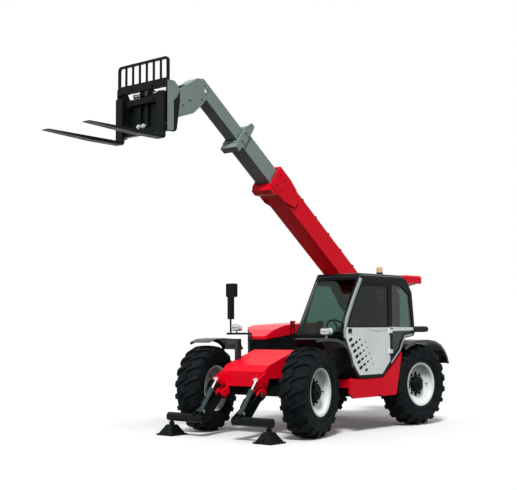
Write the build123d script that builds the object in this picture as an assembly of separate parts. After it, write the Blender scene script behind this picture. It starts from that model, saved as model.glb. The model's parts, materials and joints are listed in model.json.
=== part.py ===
"""Telehandler: a rigid four wheel machine with a three section boom, pallet forks and front stabilisers.

Units are millimetres. X points forward, Y to the driver's left and Z up. The pieces are laid out from the
ground point under the front axle, and the origin of the finished part is the middle of its footprint.
"""
import math
import os

from build123d import *

# ---- Wheels and axles ----
WHEELBASE = 2690
TYRE_RADIUS = 625
TYRE_WIDTH = 400
RIM_SEAT_RADIUS = 306
RIM_FLANGE_RADIUS = 332
RIM_WIDTH = 330
RIM_WALL = 10
KINGPIN_Y = 690
WHEEL_OFFSET = 240
FRONT_STEER = 12
REAR_STEER = -6
LUG_HEIGHT = 30
LUG_COUNT = 20
HUB_RADIUS = 120
YOKE_GAP = 100
AXLE_TUBE_RADIUS = 80
DIFFERENTIAL_RADIUS = 165
RUNNING_GAP = 0.3

# ---- Chassis ----
REAR_X = -WHEELBASE
PLATE = 30
TROUGH_HALF = 200
LIFT_BASE = (REAR_X - 460, 450)
BOOM_Y = -100
NOSE_HALF = 400
NOSE_FRONT = 300
BELLY_Z = 500
TAIL_Z = 376
AXLE_SEAT_Y = 300
AXLE_SEAT_Z = 800
TOWER_TOP = 2150
COWL_REAR_X = REAR_X - 1100
COWL_HALF = 550
EAR = 16
EAR_GAP = 80

# ---- Cab ----
CAB_RIGHT = 220
CAB_CORNER = 150
CAB_LEFT = 1100
CAB_WALL = 45
CAB_BOTTOM = 780
CAB_TOP = 2300
ROOF_SEAM = 2248
ROOF_EDGE = 90
GLASS = 6
DOOR_GAP = 6
BELT_Z = 1510
B_PILLAR_X = REAR_X + 910
HINGE_X = B_PILLAR_X - 24
HINGE_Y = CAB_LEFT + 16
HINGE_RADIUS = 11
HINGE_HEIGHT = 60
HINGE_LEVELS = (1150, 1450)
SEAT_Z = 1270

# ---- Engine bay ----
BAY_FRONT = -690
BAY_REAR = REAR_X + 540
BAY_INNER = -420
BAY_OUTER = -1090
BAY_FLOOR = 720
BAY_CORNER = 370
HOOD_REAR_TOP = 1590
PANEL = 12
FENDER = 8
FENDER_LIP = 42

# ---- Boom ----
PIVOT_X = REAR_X - 610
PIVOT_Z = 1560
BOOM_ANGLE = 36.5
BOOM_LOW = -4
BOOM_HIGH = 68
OUTER_FRONT = 3660
OUTER_TAIL = 240
OUTER_WIDTH = 320
OUTER_HEIGHT = 320
MIDDLE_WIDTH = 250
MIDDLE_HEIGHT = 256
INNER_WIDTH = 196
INNER_HEIGHT = 200
BOOM_WALL = 10
MIDDLE_REAR = 1100
MIDDLE_FRONT = 4540
INNER_REAR = 2000
HEAD_REAR = 5330
PIVOT_PIN_RADIUS = 45
LIFT_PIN_RADIUS = 26
CARRIAGE_PIN_RADIUS = 28
TILT_PIN_RADIUS = 18
TILT_GAP = 60
HEAD_HALF = INNER_WIDTH / 2
HEAD_PLATE = 14

# ---- Carriage and forks ----
CARRIAGE_PIN = (5652, -700)
CARRIAGE_HALF = 475
CARRIAGE_BACK = 330
CARRIAGE_FACE = 500
CARRIAGE_PLATE = 25
FORK_TOP_LEVEL = -400
BAR_TOP = 315
BAR_LOW = -345
RAIL_TOP = 140
EAR_OUTER = 76
CROWD = 53
DUMP = 73
FORK_LENGTH = 1250
FORK_WIDTH = 125
FORK_THICK = 45

# ---- Stabilisers ----
LEG_Y = 370
LEG_PIVOT = (NOSE_FRONT + 80, 590)
LEG_PIN_RADIUS = 24
STAB_TOP = (NOSE_FRONT + 130, 790)
STAB_PIN_RADIUS = 15
STAB_GAP = 40
STAB_PLATE = 16
FOOT = (800, 262)
FOOT_BEAM_RADIUS = 62
PAD_Y = 900
PAD_SIZE = 310
PAD_HEIGHT = 148
PAD_PIN_Z = 173
PAD_PIN_RADIUS = 11
LEG_RAISE = 40


# ---- Shape helpers ----
def prism(outline, y_low, y_high, radii=0):
    """A plate with the side outline (x, z), from y_low to y_high."""
    return extrude(side_face(outline, y_low, radii), amount=y_high - y_low, dir=(0, 1, 0))


def side_face(outline, y=0, radii=0):
    """The face inside a closed side outline (x, z), with its corners rounded where radii are given."""
    points = [(x, y, z) for x, z in outline]
    if radii:
        return make_face(FilletPolyline(*points, radius=radii, close=True))
    return make_face(Polyline(*points, close=True))


def block(x, y, z):
    """A box from (low, high) pairs along X, Y and Z."""
    size = [pair[1] - pair[0] for pair in (x, y, z)]
    centre = [(pair[0] + pair[1]) / 2 for pair in (x, y, z)]
    return Pos(*centre) * Box(*size)


def round_bar(start, end, radius):
    """A cylinder from one point to another."""
    start, end = Vector(*start), Vector(*end)
    span = end - start
    base = Plane(origin=start, z_dir=span)
    return base * Cylinder(radius, span.length, align=(Align.CENTER, Align.CENTER, Align.MIN))


def cross_bar(x, z, y_low, y_high, radius):
    """A cylinder across the machine."""
    return round_bar((x, y_low, z), (x, y_high, z), radius)


def turned(profile):
    """A solid turned about the Y axis from a profile of (radius, y) points."""
    section = make_face(Polyline(*[(r, y, 0) for r, y in profile], close=True))
    return revolve(section, axis=Axis.Y)


# ---- Wheels ----
def rim():
    """Stepped steel rim, its disc and the planet hub, with the wheel's axis along Y and the kingpin at 0."""
    outer = WHEEL_OFFSET + RIM_WIDTH / 2
    inner = WHEEL_OFFSET - RIM_WIDTH / 2
    lip = RIM_FLANGE_RADIUS
    seat = RIM_SEAT_RADIUS
    well = seat - 34
    disc = WHEEL_OFFSET + 62
    shell = [
        (lip, outer), (lip, outer - 8), (seat, outer - 14), (seat, outer - 66), (well, outer - 84),
        (well, inner + 84), (seat, inner + 66), (seat, inner + 14), (lip, inner + 8), (lip, inner),
        (lip - 8, inner), (seat - RIM_WALL, inner + 12), (seat - RIM_WALL, inner + 72),
        (well - RIM_WALL, inner + 90), (well - RIM_WALL, disc - 10), (HUB_RADIUS + 20, disc - 34),
        (HUB_RADIUS - 20, disc - 34), (HUB_RADIUS - 20, disc - 20), (HUB_RADIUS + 28, disc - 20),
        (well - RIM_WALL, disc + 4), (well - RIM_WALL, outer - 90), (seat - RIM_WALL, outer - 72),
        (seat - RIM_WALL, outer - 12), (lip - 8, outer),
    ]
    hub = [(0, 156), (HUB_RADIUS + 10, 156), (HUB_RADIUS + 10, disc - 34.2), (HUB_RADIUS - 10, disc - 34.2),
           (HUB_RADIUS - 10, disc + 46), (HUB_RADIUS - 34, disc + 62), (52, disc + 62), (46, disc + 84),
           (0, disc + 84)]
    return turned(shell) + turned(hub)


def tyre_band(depth):
    """The tyre's section as (radius, y) points from one bead round to the other, with its tread cut by a depth."""
    half = TYRE_WIDTH / 2
    bead = RIM_SEAT_RADIUS + RUNNING_GAP
    crown = TYRE_RADIUS - depth
    right = [
        (bead, -RIM_WIDTH / 2 + 16), (RIM_FLANGE_RADIUS + 3, -RIM_WIDTH / 2 + 10),
        (RIM_FLANGE_RADIUS + 34, -half + 26), (TYRE_RADIUS - 180, -half + depth / 3),
        (TYRE_RADIUS - 90, -half + depth / 2), (crown - 34, -half + 20 + depth / 2), (crown - 8, -half + 70),
        (crown, -half + 140),
    ]
    return right + [(r, -y) for r, y in reversed(right)]


def tread_lugs():
    """Two staggered rings of slanted tread lugs, from past the middle of the crown down over each shoulder."""
    half = TYRE_WIDTH / 2
    pitch = 2 * math.pi * TYRE_RADIUS / LUG_COUNT
    plan = [  # y and distance round the tread of the left lug's corners
        (-0.08 * half, -0.16 * pitch), (0.45 * half, 0.16 * pitch), (half + 2, 0.38 * pitch),
        (half + 2, 0.72 * pitch), (0.45 * half, 0.48 * pitch), (-0.08 * half, 0.14 * pitch)]
    face = make_face(Polyline(*[(TYRE_RADIUS - 110, y, round_way) for y, round_way in plan], close=True))
    lug = extrude(face, amount=130, dir=(1, 0, 0)) & turned(tyre_band(0))
    lugs = []
    for index in range(LUG_COUNT):
        angle = index * 360 / LUG_COUNT
        lugs.append(Rot(0, angle, 0) * lug)
        lugs.append(Rot(0, angle + 180 / LUG_COUNT, 0) * Rot(0, 0, 180) * Rot(0, 180, 0) * lug)
    return lugs


def tyre():
    """Farm tread tyre: its carcass with the tread lugs on it."""
    return Pos(0, WHEEL_OFFSET, 0) * (turned(tyre_band(LUG_HEIGHT)) + tread_lugs())


def knuckle():
    """Steering knuckle: the kingpin post and the hub carrier that bears the wheel."""
    post = Cylinder(48, 2 * YOKE_GAP - 2 * RUNNING_GAP)
    carrier = turned([(0, 0), (92, 0), (92, 60), (132, 96), (132, 155.7), (0, 155.7)])
    arm = Pos(-115, 14, -30) * Box(170, 60, 36)
    return post + carrier + arm


def axle(differential_y):
    """Axle housing: two tubes, the differential bulge and a yoke for each knuckle, about the axle's middle."""
    tube = round_bar((0, -KINGPIN_Y + 120, 0), (0, KINGPIN_Y - 120, 0), AXLE_TUBE_RADIUS)
    bulge = Pos(0, differential_y, 0) * turned([
        (0, -150), (AXLE_TUBE_RADIUS, -150), (DIFFERENTIAL_RADIUS, -60), (DIFFERENTIAL_RADIUS, 60),
        (AXLE_TUBE_RADIUS, 150), (0, 150)])
    housing = tube + bulge
    for side in (1, -1):
        cheek = Pos(0, side * (KINGPIN_Y - 125), 0) * Box(150, 40, 2 * YOKE_GAP + 72)
        housing += cheek
        for level in (1, -1):
            z = level * (YOKE_GAP + 18)
            ear = Pos(0, side * (KINGPIN_Y - 60), z) * Box(110, 130, 36)
            ear += Pos(0, side * KINGPIN_Y, z) * Cylinder(55, 36)
            housing += ear
    for side in (1, -1):
        housing += Pos(0, side * AXLE_SEAT_Y, (AXLE_SEAT_Z - TYRE_RADIUS) / 2) * Box(
            180, PLATE + 40, AXLE_SEAT_Z - TYRE_RADIUS)
    return housing


def at_wheel(shape, axle_x, side, steer):
    """Places a piece that is laid out from the left kingpin at a wheel, turned to its steering angle."""
    turn = steer if side > 0 else steer + 180
    return Pos(axle_x, side * KINGPIN_Y, TYRE_RADIUS) * Rot(0, 0, turn) * shape


# ---- Chassis ----
PLATE_RIGHT = (BOOM_Y - TROUGH_HALF - PLATE, BOOM_Y - TROUGH_HALF)
PLATE_LEFT = (BOOM_Y + TROUGH_HALF, BOOM_Y + TROUGH_HALF + PLATE)


def chassis_frame():
    """Two long plates with the boom between them, the tower, the nose, the skirt and the cross members."""
    tail = REAR_X - 870
    side = [
        (-560, AXLE_SEAT_Z), (-740, BELLY_Z), (REAR_X + 850, BELLY_Z), (REAR_X + 710, AXLE_SEAT_Z),
        (REAR_X - 270, AXLE_SEAT_Z), (REAR_X - 350, TAIL_Z), (tail + 140, TAIL_Z), (tail, 700),
        (tail, TOWER_TOP - 100), (tail + 100, TOWER_TOP), (PIVOT_X + 170, TOWER_TOP), (PIVOT_X + 300, 1500),
        (REAR_X - 10, 1180), (REAR_X + 690, 1040), (-800, 1040), (-560, 1120),
    ]
    radii = [1, 40, 40, 1, 1, 1, 30, 60, 80, 80, 60, 200, 200, 200, 60, 1]
    frame = prism(side, *PLATE_RIGHT, radii) + prism(side, *PLATE_LEFT, radii)
    members = (  # x, z, radius of the cross tubes between the plates
        (-900, 900, 60),
        (REAR_X + 740, 900, 60),
        (tail + 90, 1000, 50),
        (tail + 90, 1900, 50),
    )
    for x, z, radius in members:
        frame += cross_bar(x, z, PLATE_RIGHT[0], PLATE_LEFT[1], radius)
    frame += cross_bar(PIVOT_X, PIVOT_Z, PLATE_RIGHT[0] - 20, PLATE_LEFT[1] + 20, PIVOT_PIN_RADIUS)
    for y_low, y_high in (PLATE_RIGHT, PLATE_LEFT):
        frame += cross_bar(PIVOT_X, PIVOT_Z, y_low - 8, y_high + 8, 100)
    frame -= block((PIVOT_X - 200, PIVOT_X + 200), (PLATE_RIGHT[1], PLATE_LEFT[0]),
                   (PIVOT_Z - 200, PIVOT_Z + 200)) - cross_bar(
                       PIVOT_X, PIVOT_Z, PLATE_RIGHT[1], PLATE_LEFT[0], PIVOT_PIN_RADIUS)
    frame += nose() + skirt() + engine_bearers()
    frame += block((tail, tail + PANEL), (PLATE_RIGHT[1], PLATE_LEFT[0]), (TAIL_Z + 330, 1300))
    base_x = LIFT_BASE[0]
    frame += block((base_x - 110, base_x + 110), (PLATE_RIGHT[1], PLATE_LEFT[0]), (TAIL_Z, TAIL_Z + EAR))
    foot = [(base_x - 80, TAIL_Z), (base_x + 80, TAIL_Z), (base_x + 60, 520), (base_x - 60, 520)]
    for y in (BOOM_Y - EAR_GAP - EAR, BOOM_Y + EAR_GAP):
        frame += prism(foot, y, y + EAR)
    reach = EAR_GAP + EAR + 14
    return frame + cross_bar(*LIFT_BASE, BOOM_Y - reach, BOOM_Y + reach, LIFT_PIN_RADIUS)


NOSE_SLOPE = ((-420, 1188), (200, 985))  # x, z at the ends of the nose's long top plate


def nose_top(x):
    """Height of the nose's sloping top plate at a place along X."""
    (rear, high), (front, low) = NOSE_SLOPE
    return high + (x - rear) * (low - high) / (front - rear)


def nose():
    """Front of the frame: two deep cheeks over the axle, a sloping top plate and the stabiliser lugs."""
    pivot_x, pivot_z = LEG_PIVOT
    boss = 55
    lug = [(NOSE_FRONT, 690), (pivot_x + 20, pivot_z + 50), (pivot_x - 20, pivot_z - 50), (270, 590)]
    cheek = [(-600, AXLE_SEAT_Z), (-600, 1175), *NOSE_SLOPE, (NOSE_FRONT, 900)] + lug + [(200, AXLE_SEAT_Z)]
    top = [(-600, 1150), (-600, 1175), *NOSE_SLOPE, (NOSE_FRONT, 900), (NOSE_FRONT, 690),
           (NOSE_FRONT - 25, 690), (NOSE_FRONT - 25, 888), (190, 962), (-420, 1162)]
    body = prism(top, -NOSE_HALF, NOSE_HALF)
    body += block((-600, 200), (-NOSE_HALF, NOSE_HALF), (AXLE_SEAT_Z, AXLE_SEAT_Z + 24))
    clevis = [(NOSE_FRONT, 720), (NOSE_FRONT, 880), (STAB_TOP[0] - 10, STAB_TOP[1] + 30),
              (STAB_TOP[0] + 10, STAB_TOP[1] - 30)]
    for side in (1, -1):
        y = sorted((side * (NOSE_HALF - PLATE), side * NOSE_HALF))
        body += prism(cheek, *y) + cross_bar(*LEG_PIVOT, *y, boss)
        y = sorted((side * (LEG_Y - 100), side * (LEG_Y - 70)))
        body += prism(lug + [(270, 700)], *y) + cross_bar(*LEG_PIVOT, *y, boss)
        body += cross_bar(*LEG_PIVOT, *sorted((side * (LEG_Y - 100), side * (LEG_Y + STAB_GAP + STAB_PLATE + 4))),
                          LEG_PIN_RADIUS)
        wide = sorted((side * (NOSE_HALF - PLATE), side * (LEG_Y + STAB_GAP + STAB_PLATE)))
        body += block((NOSE_FRONT - 25, NOSE_FRONT), wide, (700, 890))
        for gap in (STAB_GAP, -STAB_GAP - STAB_PLATE):
            y = sorted((side * (LEG_Y + gap), side * (LEG_Y + gap + STAB_PLATE)))
            body += prism(clevis, *y) + cross_bar(*STAB_TOP, *y, 32)
        for near in (LEG_Y - STAB_GAP - STAB_PLATE, LEG_Y + STAB_GAP + STAB_PLATE + 8):
            body += cross_bar(*STAB_TOP, *sorted((side * near, side * (near - 8))), STAB_PIN_RADIUS + 6)
    return body


def skirt():
    """Painted skirt under the cab on its two outriggers, with the rise in front of the rear wheel."""
    outline = [(-760, 790), (-760, 560), (-840, BELLY_Z), (-1440, BELLY_Z), (-1500, 535), (-1560, BELLY_Z),
               (REAR_X + 740, BELLY_Z), (REAR_X + 570, 1140), (REAR_X + 740, 1000),
               (REAR_X + 1090, CAB_BOTTOM - 8), (-900, CAB_BOTTOM - 8)]
    radii = [1, 30, 40, 30, 40, 30, 60, 1, 120, 60, 1]
    body = prism(outline, CAB_LEFT - 40, CAB_LEFT - 10, radii)
    for x in (-1000, REAR_X + 890):
        body += block((x - 60, x + 60), (PLATE_LEFT[1], CAB_LEFT - 40), (640, 760))
    (high_x, high_z), (low_x, low_z) = CAB_OUTLINE[-2:]
    slope = (high_z - low_z) / (high_x - low_x)
    rear, front = REAR_X + 850, REAR_X + 930
    post = [(rear, 760), (front, 760), (front, low_z + (front - low_x) * slope),
            (rear, low_z + (rear - low_x) * slope)]
    for y in (210, 900):
        body += prism(post, y, y + 80) + block((-1060, -1005), (y, y + 80), (760, CAB_BOTTOM))
    return body


def engine_bearers():
    """Two arms that carry the engine and its bay on the right of the frame."""
    body = None
    for x in (-1000, REAR_X + 890):
        arm = block((x - 60, x + 60), (BAY_OUTER + 60, PLATE_RIGHT[0]), (600, BAY_FLOOR))
        body = arm if body is None else body + arm
    return body


def tower_cowl():
    """Moulded cover over the boom's pivot and hoses: a wide rounded top that narrows down onto the tower."""
    front, seam, top = PIVOT_X + 20, TOWER_TOP + 85, TOWER_TOP + 215
    length, middle = front - COWL_REAR_X, (front + COWL_REAR_X) / 2
    lid = Pos(middle, BOOM_Y, seam) * extrude(RectangleRounded(length, 2 * COWL_HALF, 60), amount=top - seam)
    lid = chamfer(lid.faces().sort_by(Axis.Z)[-1].edges(), 25)
    foot = Pos(REAR_X - 760, BOOM_Y, TOWER_TOP) * Rectangle(200, 2 * TROUGH_HALF + 2 * PLATE)
    rim = Pos(middle, BOOM_Y, seam) * Rectangle(length - 120, 2 * COWL_HALF - 120)
    return lid + loft([foot, rim])


def drive_shafts():
    """Transfer box under the engine side and a shaft to each axle."""
    box = block((-1700, -1350), (-260, 60), (520, 700))
    front = round_bar((-1350, -20, 610), (-DIFFERENTIAL_RADIUS - 6, 0, TYRE_RADIUS), 35)
    rear = round_bar((-1700, -20, 610), (REAR_X + DIFFERENTIAL_RADIUS + 6, 120, TYRE_RADIUS), 35)
    return box + front + rear


def fuel_tank():
    """Tank on the outriggers under the cab floor."""
    return block((REAR_X + 950, -1060), (PLATE_LEFT[1] + 60, CAB_LEFT - 50), (510, 750))


# ---- Cab ----
CAB_OUTLINE = [  # x, z around the cab's side, from the door's lower front corner
    (-970, CAB_BOTTOM), (-793, 952), (-751, 1093), (-666, 1228), (-603, 1330), (-582, 1440), (-672, 1645),
    (-826, 1915), (-1010, 2205), (-1090, CAB_TOP), (REAR_X + 500, CAB_TOP), (REAR_X + 290, 2040),
    (REAR_X + 230, 1560), (REAR_X + 230, 1375), (REAR_X + 500, 1345), (REAR_X + 630, 1150),
    (REAR_X + 1130, CAB_BOTTOM),
]
CAB_RADII = [60, 60, 60, 40, 40, 60, 300, 300, 80, 90, 130, 150, 60, 60, 60, 60, 100]
PILLAR = ((-672, 1645), (-1010, 2205))  # x, z of the line that the front posts follow


def corner_cut(inset, y, side, radius):
    """What rounds one front post: a square edge less its circle, swept along the posts' slope."""
    (low_x, low_z), (high_x, high_z) = PILLAR
    slope = (high_x - low_x) / (high_z - low_z)
    foot_z = 1300
    front = low_x + (foot_z - low_z) * slope - inset
    round_off = radius - inset
    edge = y - side * inset
    centre = Pos(front - round_off, edge - side * round_off, foot_z)
    square = Pos(front - round_off / 2 + 50, edge - side * (round_off / 2 - 50), foot_z) * Rectangle(
        round_off + 100, round_off + 100)
    section = square - centre * Circle(round_off)
    return extrude(section, amount=1400, dir=(slope, 0, 1))


def cab_solid(inset, y_low, y_high):
    """The cab's body drawn in by an inset, with its front posts and roof edges rounded."""
    face = side_face(CAB_OUTLINE, 0, CAB_RADII)
    if inset:
        face = offset(face, amount=-inset)
    body = Pos(0, y_low, 0) * extrude(face, amount=y_high - y_low, dir=(0, 1, 0))
    body -= corner_cut(inset, CAB_RIGHT, -1, CAB_CORNER) + corner_cut(inset, CAB_LEFT, 1, CAB_CORNER / 2)
    right, left, top = CAB_RIGHT + inset, CAB_LEFT - inset, CAB_TOP - inset
    edge = ROOF_EDGE - inset
    ends = [(0, right, 600), (0, left, 600), (0, left, top), (0, right, top)]
    front = make_face(FilletPolyline(*ends, radius=[1, 1, edge, edge], close=True))
    return body & Pos(-3000, 0, 0) * extrude(front, amount=3000, dir=(1, 0, 0))


WINDSCREEN_HOLE = ((-1300, -500), (CAB_RIGHT + 45, CAB_LEFT - 60), (1400, 2200))
REAR_HOLE = ((REAR_X + 130, REAR_X + 440), (CAB_RIGHT + 65, CAB_LEFT - 65), (1480, 2100))
DOOR_OUTLINE = [  # x, z from the lower front corner, up the front post and round
    (-985, 825), (-843, 985), (-800, 1110), (-715, 1245), (-655, 1360), (-652, 1440), (-735, 1650),
    (-890, 1925), (-1040, 2150), (B_PILLAR_X + 30, 2150), (B_PILLAR_X, 2100), (B_PILLAR_X, 1010),
    (B_PILLAR_X + 210, 825)]
QUARTER_OUTLINE = [
    (B_PILLAR_X - 60, 1070), (B_PILLAR_X - 60, 2140), (REAR_X + 600, 2140), (REAR_X + 360, 1990),
    (REAR_X + 290, 1560), (REAR_X + 290, 1425), (REAR_X + 520, 1400), (REAR_X + 660, 1200)]
RIGHT_OUTLINE = [
    (-800, 1400), (-850, 1640), (-980, 1930), (-1100, 2140), (REAR_X + 600, 2140), (REAR_X + 360, 1990),
    (REAR_X + 290, 1560), (REAR_X + 290, 1425)]


def cab_shell():
    """The closed cab body as a hollow box with walls as thick as its posts."""
    inside = cab_solid(CAB_WALL, CAB_RIGHT + CAB_WALL, CAB_LEFT - CAB_WALL)
    return cab_solid(0, CAB_RIGHT, CAB_LEFT) - inside


def window_hole(outline, gap=0):
    """A prism through one side wall of the cab, with its outline spread by a gap."""
    face = side_face(outline)
    if gap:
        face = offset(face, amount=gap, kind=Kind.INTERSECTION)
    return face


def through_wall(face, y_low, y_high):
    """Spreads a side face across a wall of the cab."""
    return Pos(0, y_low, 0) * extrude(face, amount=y_high - y_low, dir=(0, 1, 0))


def cab_frame():
    """Posts, floor and lower walls of the cab, with the door and window openings cut."""
    body = cab_shell() - block((-3000, 0), (0, 1300), (ROOF_SEAM, 3000))
    body -= block(*WINDSCREEN_HOLE)
    body -= block(*REAR_HOLE)
    body -= through_wall(window_hole(DOOR_OUTLINE, DOOR_GAP), CAB_LEFT - CAB_WALL - 20, CAB_LEFT + 20)
    body -= through_wall(window_hole(QUARTER_OUTLINE), CAB_LEFT - CAB_WALL - 20, CAB_LEFT + 20)
    body -= through_wall(window_hole(RIGHT_OUTLINE), CAB_RIGHT - 20, CAB_RIGHT + CAB_WALL + 20)
    for z in HINGE_LEVELS:
        for end in (1, -1):
            knuckle_z = z + end * (HINGE_HEIGHT / 2 + RUNNING_GAP + 10)
            body += Pos(HINGE_X, HINGE_Y, knuckle_z) * Cylinder(HINGE_RADIUS, 20)
            body += block((HINGE_X - 30, HINGE_X), (CAB_LEFT - 5, HINGE_Y), (knuckle_z - 10, knuckle_z + 10))
    return body


def cab_roof():
    """Roof moulding from the seam up."""
    return cab_shell() & block((-3000, 0), (0, 1300), (ROOF_SEAM, 3000))


def glass_sheet():
    """A skin as thick as the glass, 10 mm inside the cab's outer faces."""
    return cab_solid(10, CAB_RIGHT + 10, CAB_LEFT - 10) - cab_solid(
        10 + GLASS, CAB_RIGHT + 10 + GLASS, CAB_LEFT - 10 - GLASS)


def windscreen():
    """Curved front glass between the front posts."""
    x, y, z = WINDSCREEN_HOLE
    edge = RUNNING_GAP
    return glass_sheet() & block(x, (y[0] + edge, y[1] - edge), (z[0] + edge, z[1] - edge))


def fixed_glass():
    """Rear window, rear quarter window and the window beside the boom."""
    x, y, z = REAR_HOLE
    edge = RUNNING_GAP
    rear = glass_sheet() & block(x, (y[0] + edge, y[1] - edge), (z[0] + edge, z[1] - edge))
    quarter = through_wall(window_hole(QUARTER_OUTLINE, -edge), CAB_LEFT - 16, CAB_LEFT - 16 + GLASS)
    right = through_wall(window_hole(RIGHT_OUTLINE, -edge), CAB_RIGHT + 10, CAB_RIGHT + 10 + GLASS)
    return rear + quarter + right


def door_panel():
    """Door: a full lower panel and the slim frame of its upper window, with the hinge barrels."""
    full = through_wall(window_hole(DOOR_OUTLINE), CAB_LEFT - CAB_WALL + 5, CAB_LEFT)
    window = through_wall(window_hole(DOOR_OUTLINE, -34), CAB_LEFT - 100, CAB_LEFT + 20)
    window &= block((-3000, 0), (0, 1300), (BELT_Z, 3000))
    body = full - window
    for z in HINGE_LEVELS:
        low, high = z - HINGE_HEIGHT / 2, z + HINGE_HEIGHT / 2
        body += Pos(HINGE_X, HINGE_Y, z) * Cylinder(HINGE_RADIUS, HINGE_HEIGHT)
        body += block((HINGE_X, B_PILLAR_X + 40), (CAB_LEFT, HINGE_Y + 6), (low, high))
    return body


def door_window():
    """Upper door glass inside its frame."""
    glass = through_wall(window_hole(DOOR_OUTLINE, -34 - RUNNING_GAP), CAB_LEFT - 16, CAB_LEFT - 16 + GLASS)
    return glass & block((-3000, 0), (0, 1300), (BELT_Z + RUNNING_GAP, 3000))


CAB_MIDDLE = (CAB_RIGHT + CAB_LEFT) / 2
CAB_FLOOR = CAB_BOTTOM + CAB_WALL


def dashboard():
    """Front console that carries the steering column."""
    outline = [(-1030, CAB_FLOOR), (-860, 1010), (-800, 1130), (-715, 1270), (-680, 1395), (-900, 1400),
               (-960, 1330), (-1000, 1150), (-1090, CAB_FLOOR)]
    body = prism(outline, CAB_RIGHT + 90, CAB_LEFT - 200)
    return body + round_bar((-930, CAB_MIDDLE, 1320), (-1080, CAB_MIDDLE, 1470), 32)


def steering_wheel():
    """Wheel on the column's end, tilted towards the driver."""
    ring = Torus(185, 15) + Cylinder(38, 30)
    for angle in (0, 120, 240):
        ring += Rot(0, 0, angle) * Pos(95, 0, 0) * Box(190, 28, 12)
    place = Plane(origin=(-1091, CAB_MIDDLE, 1481), z_dir=(-1, 0, 1))
    return place * ring


def seat_base():
    """Suspension box under the seat."""
    pedestal = [(-1960, 1210), (-1560, 1210), (-1380, CAB_FLOOR), (-1515, CAB_FLOOR)]
    body = block((-1980, -1540), (CAB_MIDDLE - 200, CAB_MIDDLE + 200), (1200, SEAT_Z))
    return body + prism(pedestal, CAB_MIDDLE - 180, CAB_MIDDLE + 180)


def seat_cushion():
    """Seat pad."""
    return block((-1990, -1500), (CAB_MIDDLE - 240, CAB_MIDDLE + 240), (SEAT_Z + RUNNING_GAP, SEAT_Z + 100))


def seat_back():
    """Backrest pad."""
    foot = SEAT_Z + 100 + RUNNING_GAP
    outline = [(-1890, foot), (-1990, foot), (-2130, 1850), (-2030, 1870)]
    return prism(outline, CAB_MIDDLE - 220, CAB_MIDDLE + 220)


# ---- Engine bay ----
HOOD_HINGES = (-1350, BAY_REAR + 100)
HOOD_AXIS_Y = BAY_INNER + 14
HOOD_AXIS_Z = 1602
HOOD_SEAM = [(BAY_FRONT, 1330), (-1500, 1420), (BAY_REAR, 1440)]  # x, z along the hood's lower edge


def bay_corner(inset):
    """What the bay's slanted front corner takes off, drawn in by an inset."""
    reach = BAY_CORNER - inset
    low = Vector(BAY_FRONT + 60, BAY_OUTER - 60)
    points = [low, low + Vector(-60 - inset - reach - 60, 0), low + Vector(0, 60 + inset + reach + 60)]
    return Pos(0, 0, 600) * extrude(make_face(Polyline(*points, close=True)), amount=1200, dir=(0, 0, 1))


def engine_panels():
    """Side, front and rear panels of the engine bay on its floor plate, open at the top under the hood."""
    outline = [(-800, BAY_FLOOR), (-800, 1000), (-740, 1180)] + HOOD_SEAM + [
        (BAY_REAR, 1320), (BAY_REAR + 90, 1290), (BAY_REAR + 260, 1000), (BAY_REAR + 260, BAY_FLOOR)]
    outside = prism(outline, BAY_OUTER, BAY_INNER) - bay_corner(0)
    hollow = Pos(0, BAY_OUTER + PANEL, 0) * extrude(
        offset(side_face(outline), amount=-PANEL), amount=BAY_INNER - BAY_OUTER - 2 * PANEL, dir=(0, 1, 0))
    hollow -= bay_corner(-1.5 * PANEL)
    mouth = [(BAY_FRONT - 40, 1290), (BAY_FRONT - 40, 1500), (BAY_REAR + PANEL, 1500), (BAY_REAR + PANEL, 1400),
             (-1500, 1370)]
    lid = prism(mouth, BAY_OUTER + PANEL, BAY_INNER - PANEL) - bay_corner(-1.5 * PANEL)
    slots = [block((x, x + 26), (BAY_OUTER - 1, BAY_OUTER + PANEL + 1), (900, 1180))
             for x in range(-1640, -1160, 60)]
    body = outside - hollow - lid - slots
    for x in HOOD_HINGES:
        for end in (1, -1):
            place = x + end * (HINGE_HEIGHT / 2 + RUNNING_GAP + 10)
            body += block((place - 10, place + 10), (BAY_INNER, BAY_INNER + 10), (1300, HOOD_AXIS_Z + 6))
            body += round_bar((place - 10, HOOD_AXIS_Y, HOOD_AXIS_Z), (place + 10, HOOD_AXIS_Y, HOOD_AXIS_Z),
                              HINGE_RADIUS)
    return body


def engine_hood():
    """Sloping hood over the engine bay, hinged along the boom's side."""
    seam = [(x, z + RUNNING_GAP) for x, z in HOOD_SEAM]
    top = [(BAY_REAR, HOOD_REAR_TOP), (-1780, 1580), (-1200, 1550), (-920, 1480), (BAY_FRONT, 1380)]
    inner_top = [(BAY_REAR + PANEL, HOOD_REAR_TOP - PANEL), (-1780, 1580 - PANEL), (-1200, 1550 - PANEL),
                 (-920, 1480 - PANEL), (BAY_FRONT - PANEL, 1380 - PANEL)]
    inner_seam = [(BAY_FRONT - PANEL, 1300), (-1500, 1390), (BAY_REAR + PANEL, 1410)]
    body = prism(seam + top, BAY_OUTER, BAY_INNER) - bay_corner(0)
    body -= prism(inner_seam + inner_top, BAY_OUTER + PANEL, BAY_INNER - PANEL) - bay_corner(-1.5 * PANEL)
    for x in HOOD_HINGES:
        low, high = x - HINGE_HEIGHT / 2, x + HINGE_HEIGHT / 2
        body += round_bar((low, HOOD_AXIS_Y, HOOD_AXIS_Z), (high, HOOD_AXIS_Y, HOOD_AXIS_Z), HINGE_RADIUS)
        body += block((low, high), (BAY_INNER - 20, HOOD_AXIS_Y), (1540, HOOD_AXIS_Z + 4))
    return body


def engine_block():
    """Engine and radiator mass as one plain block on the bay's floor."""
    return block((-1820, -1020), (-980, -520), (BAY_FLOOR + PANEL, 1280))


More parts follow.
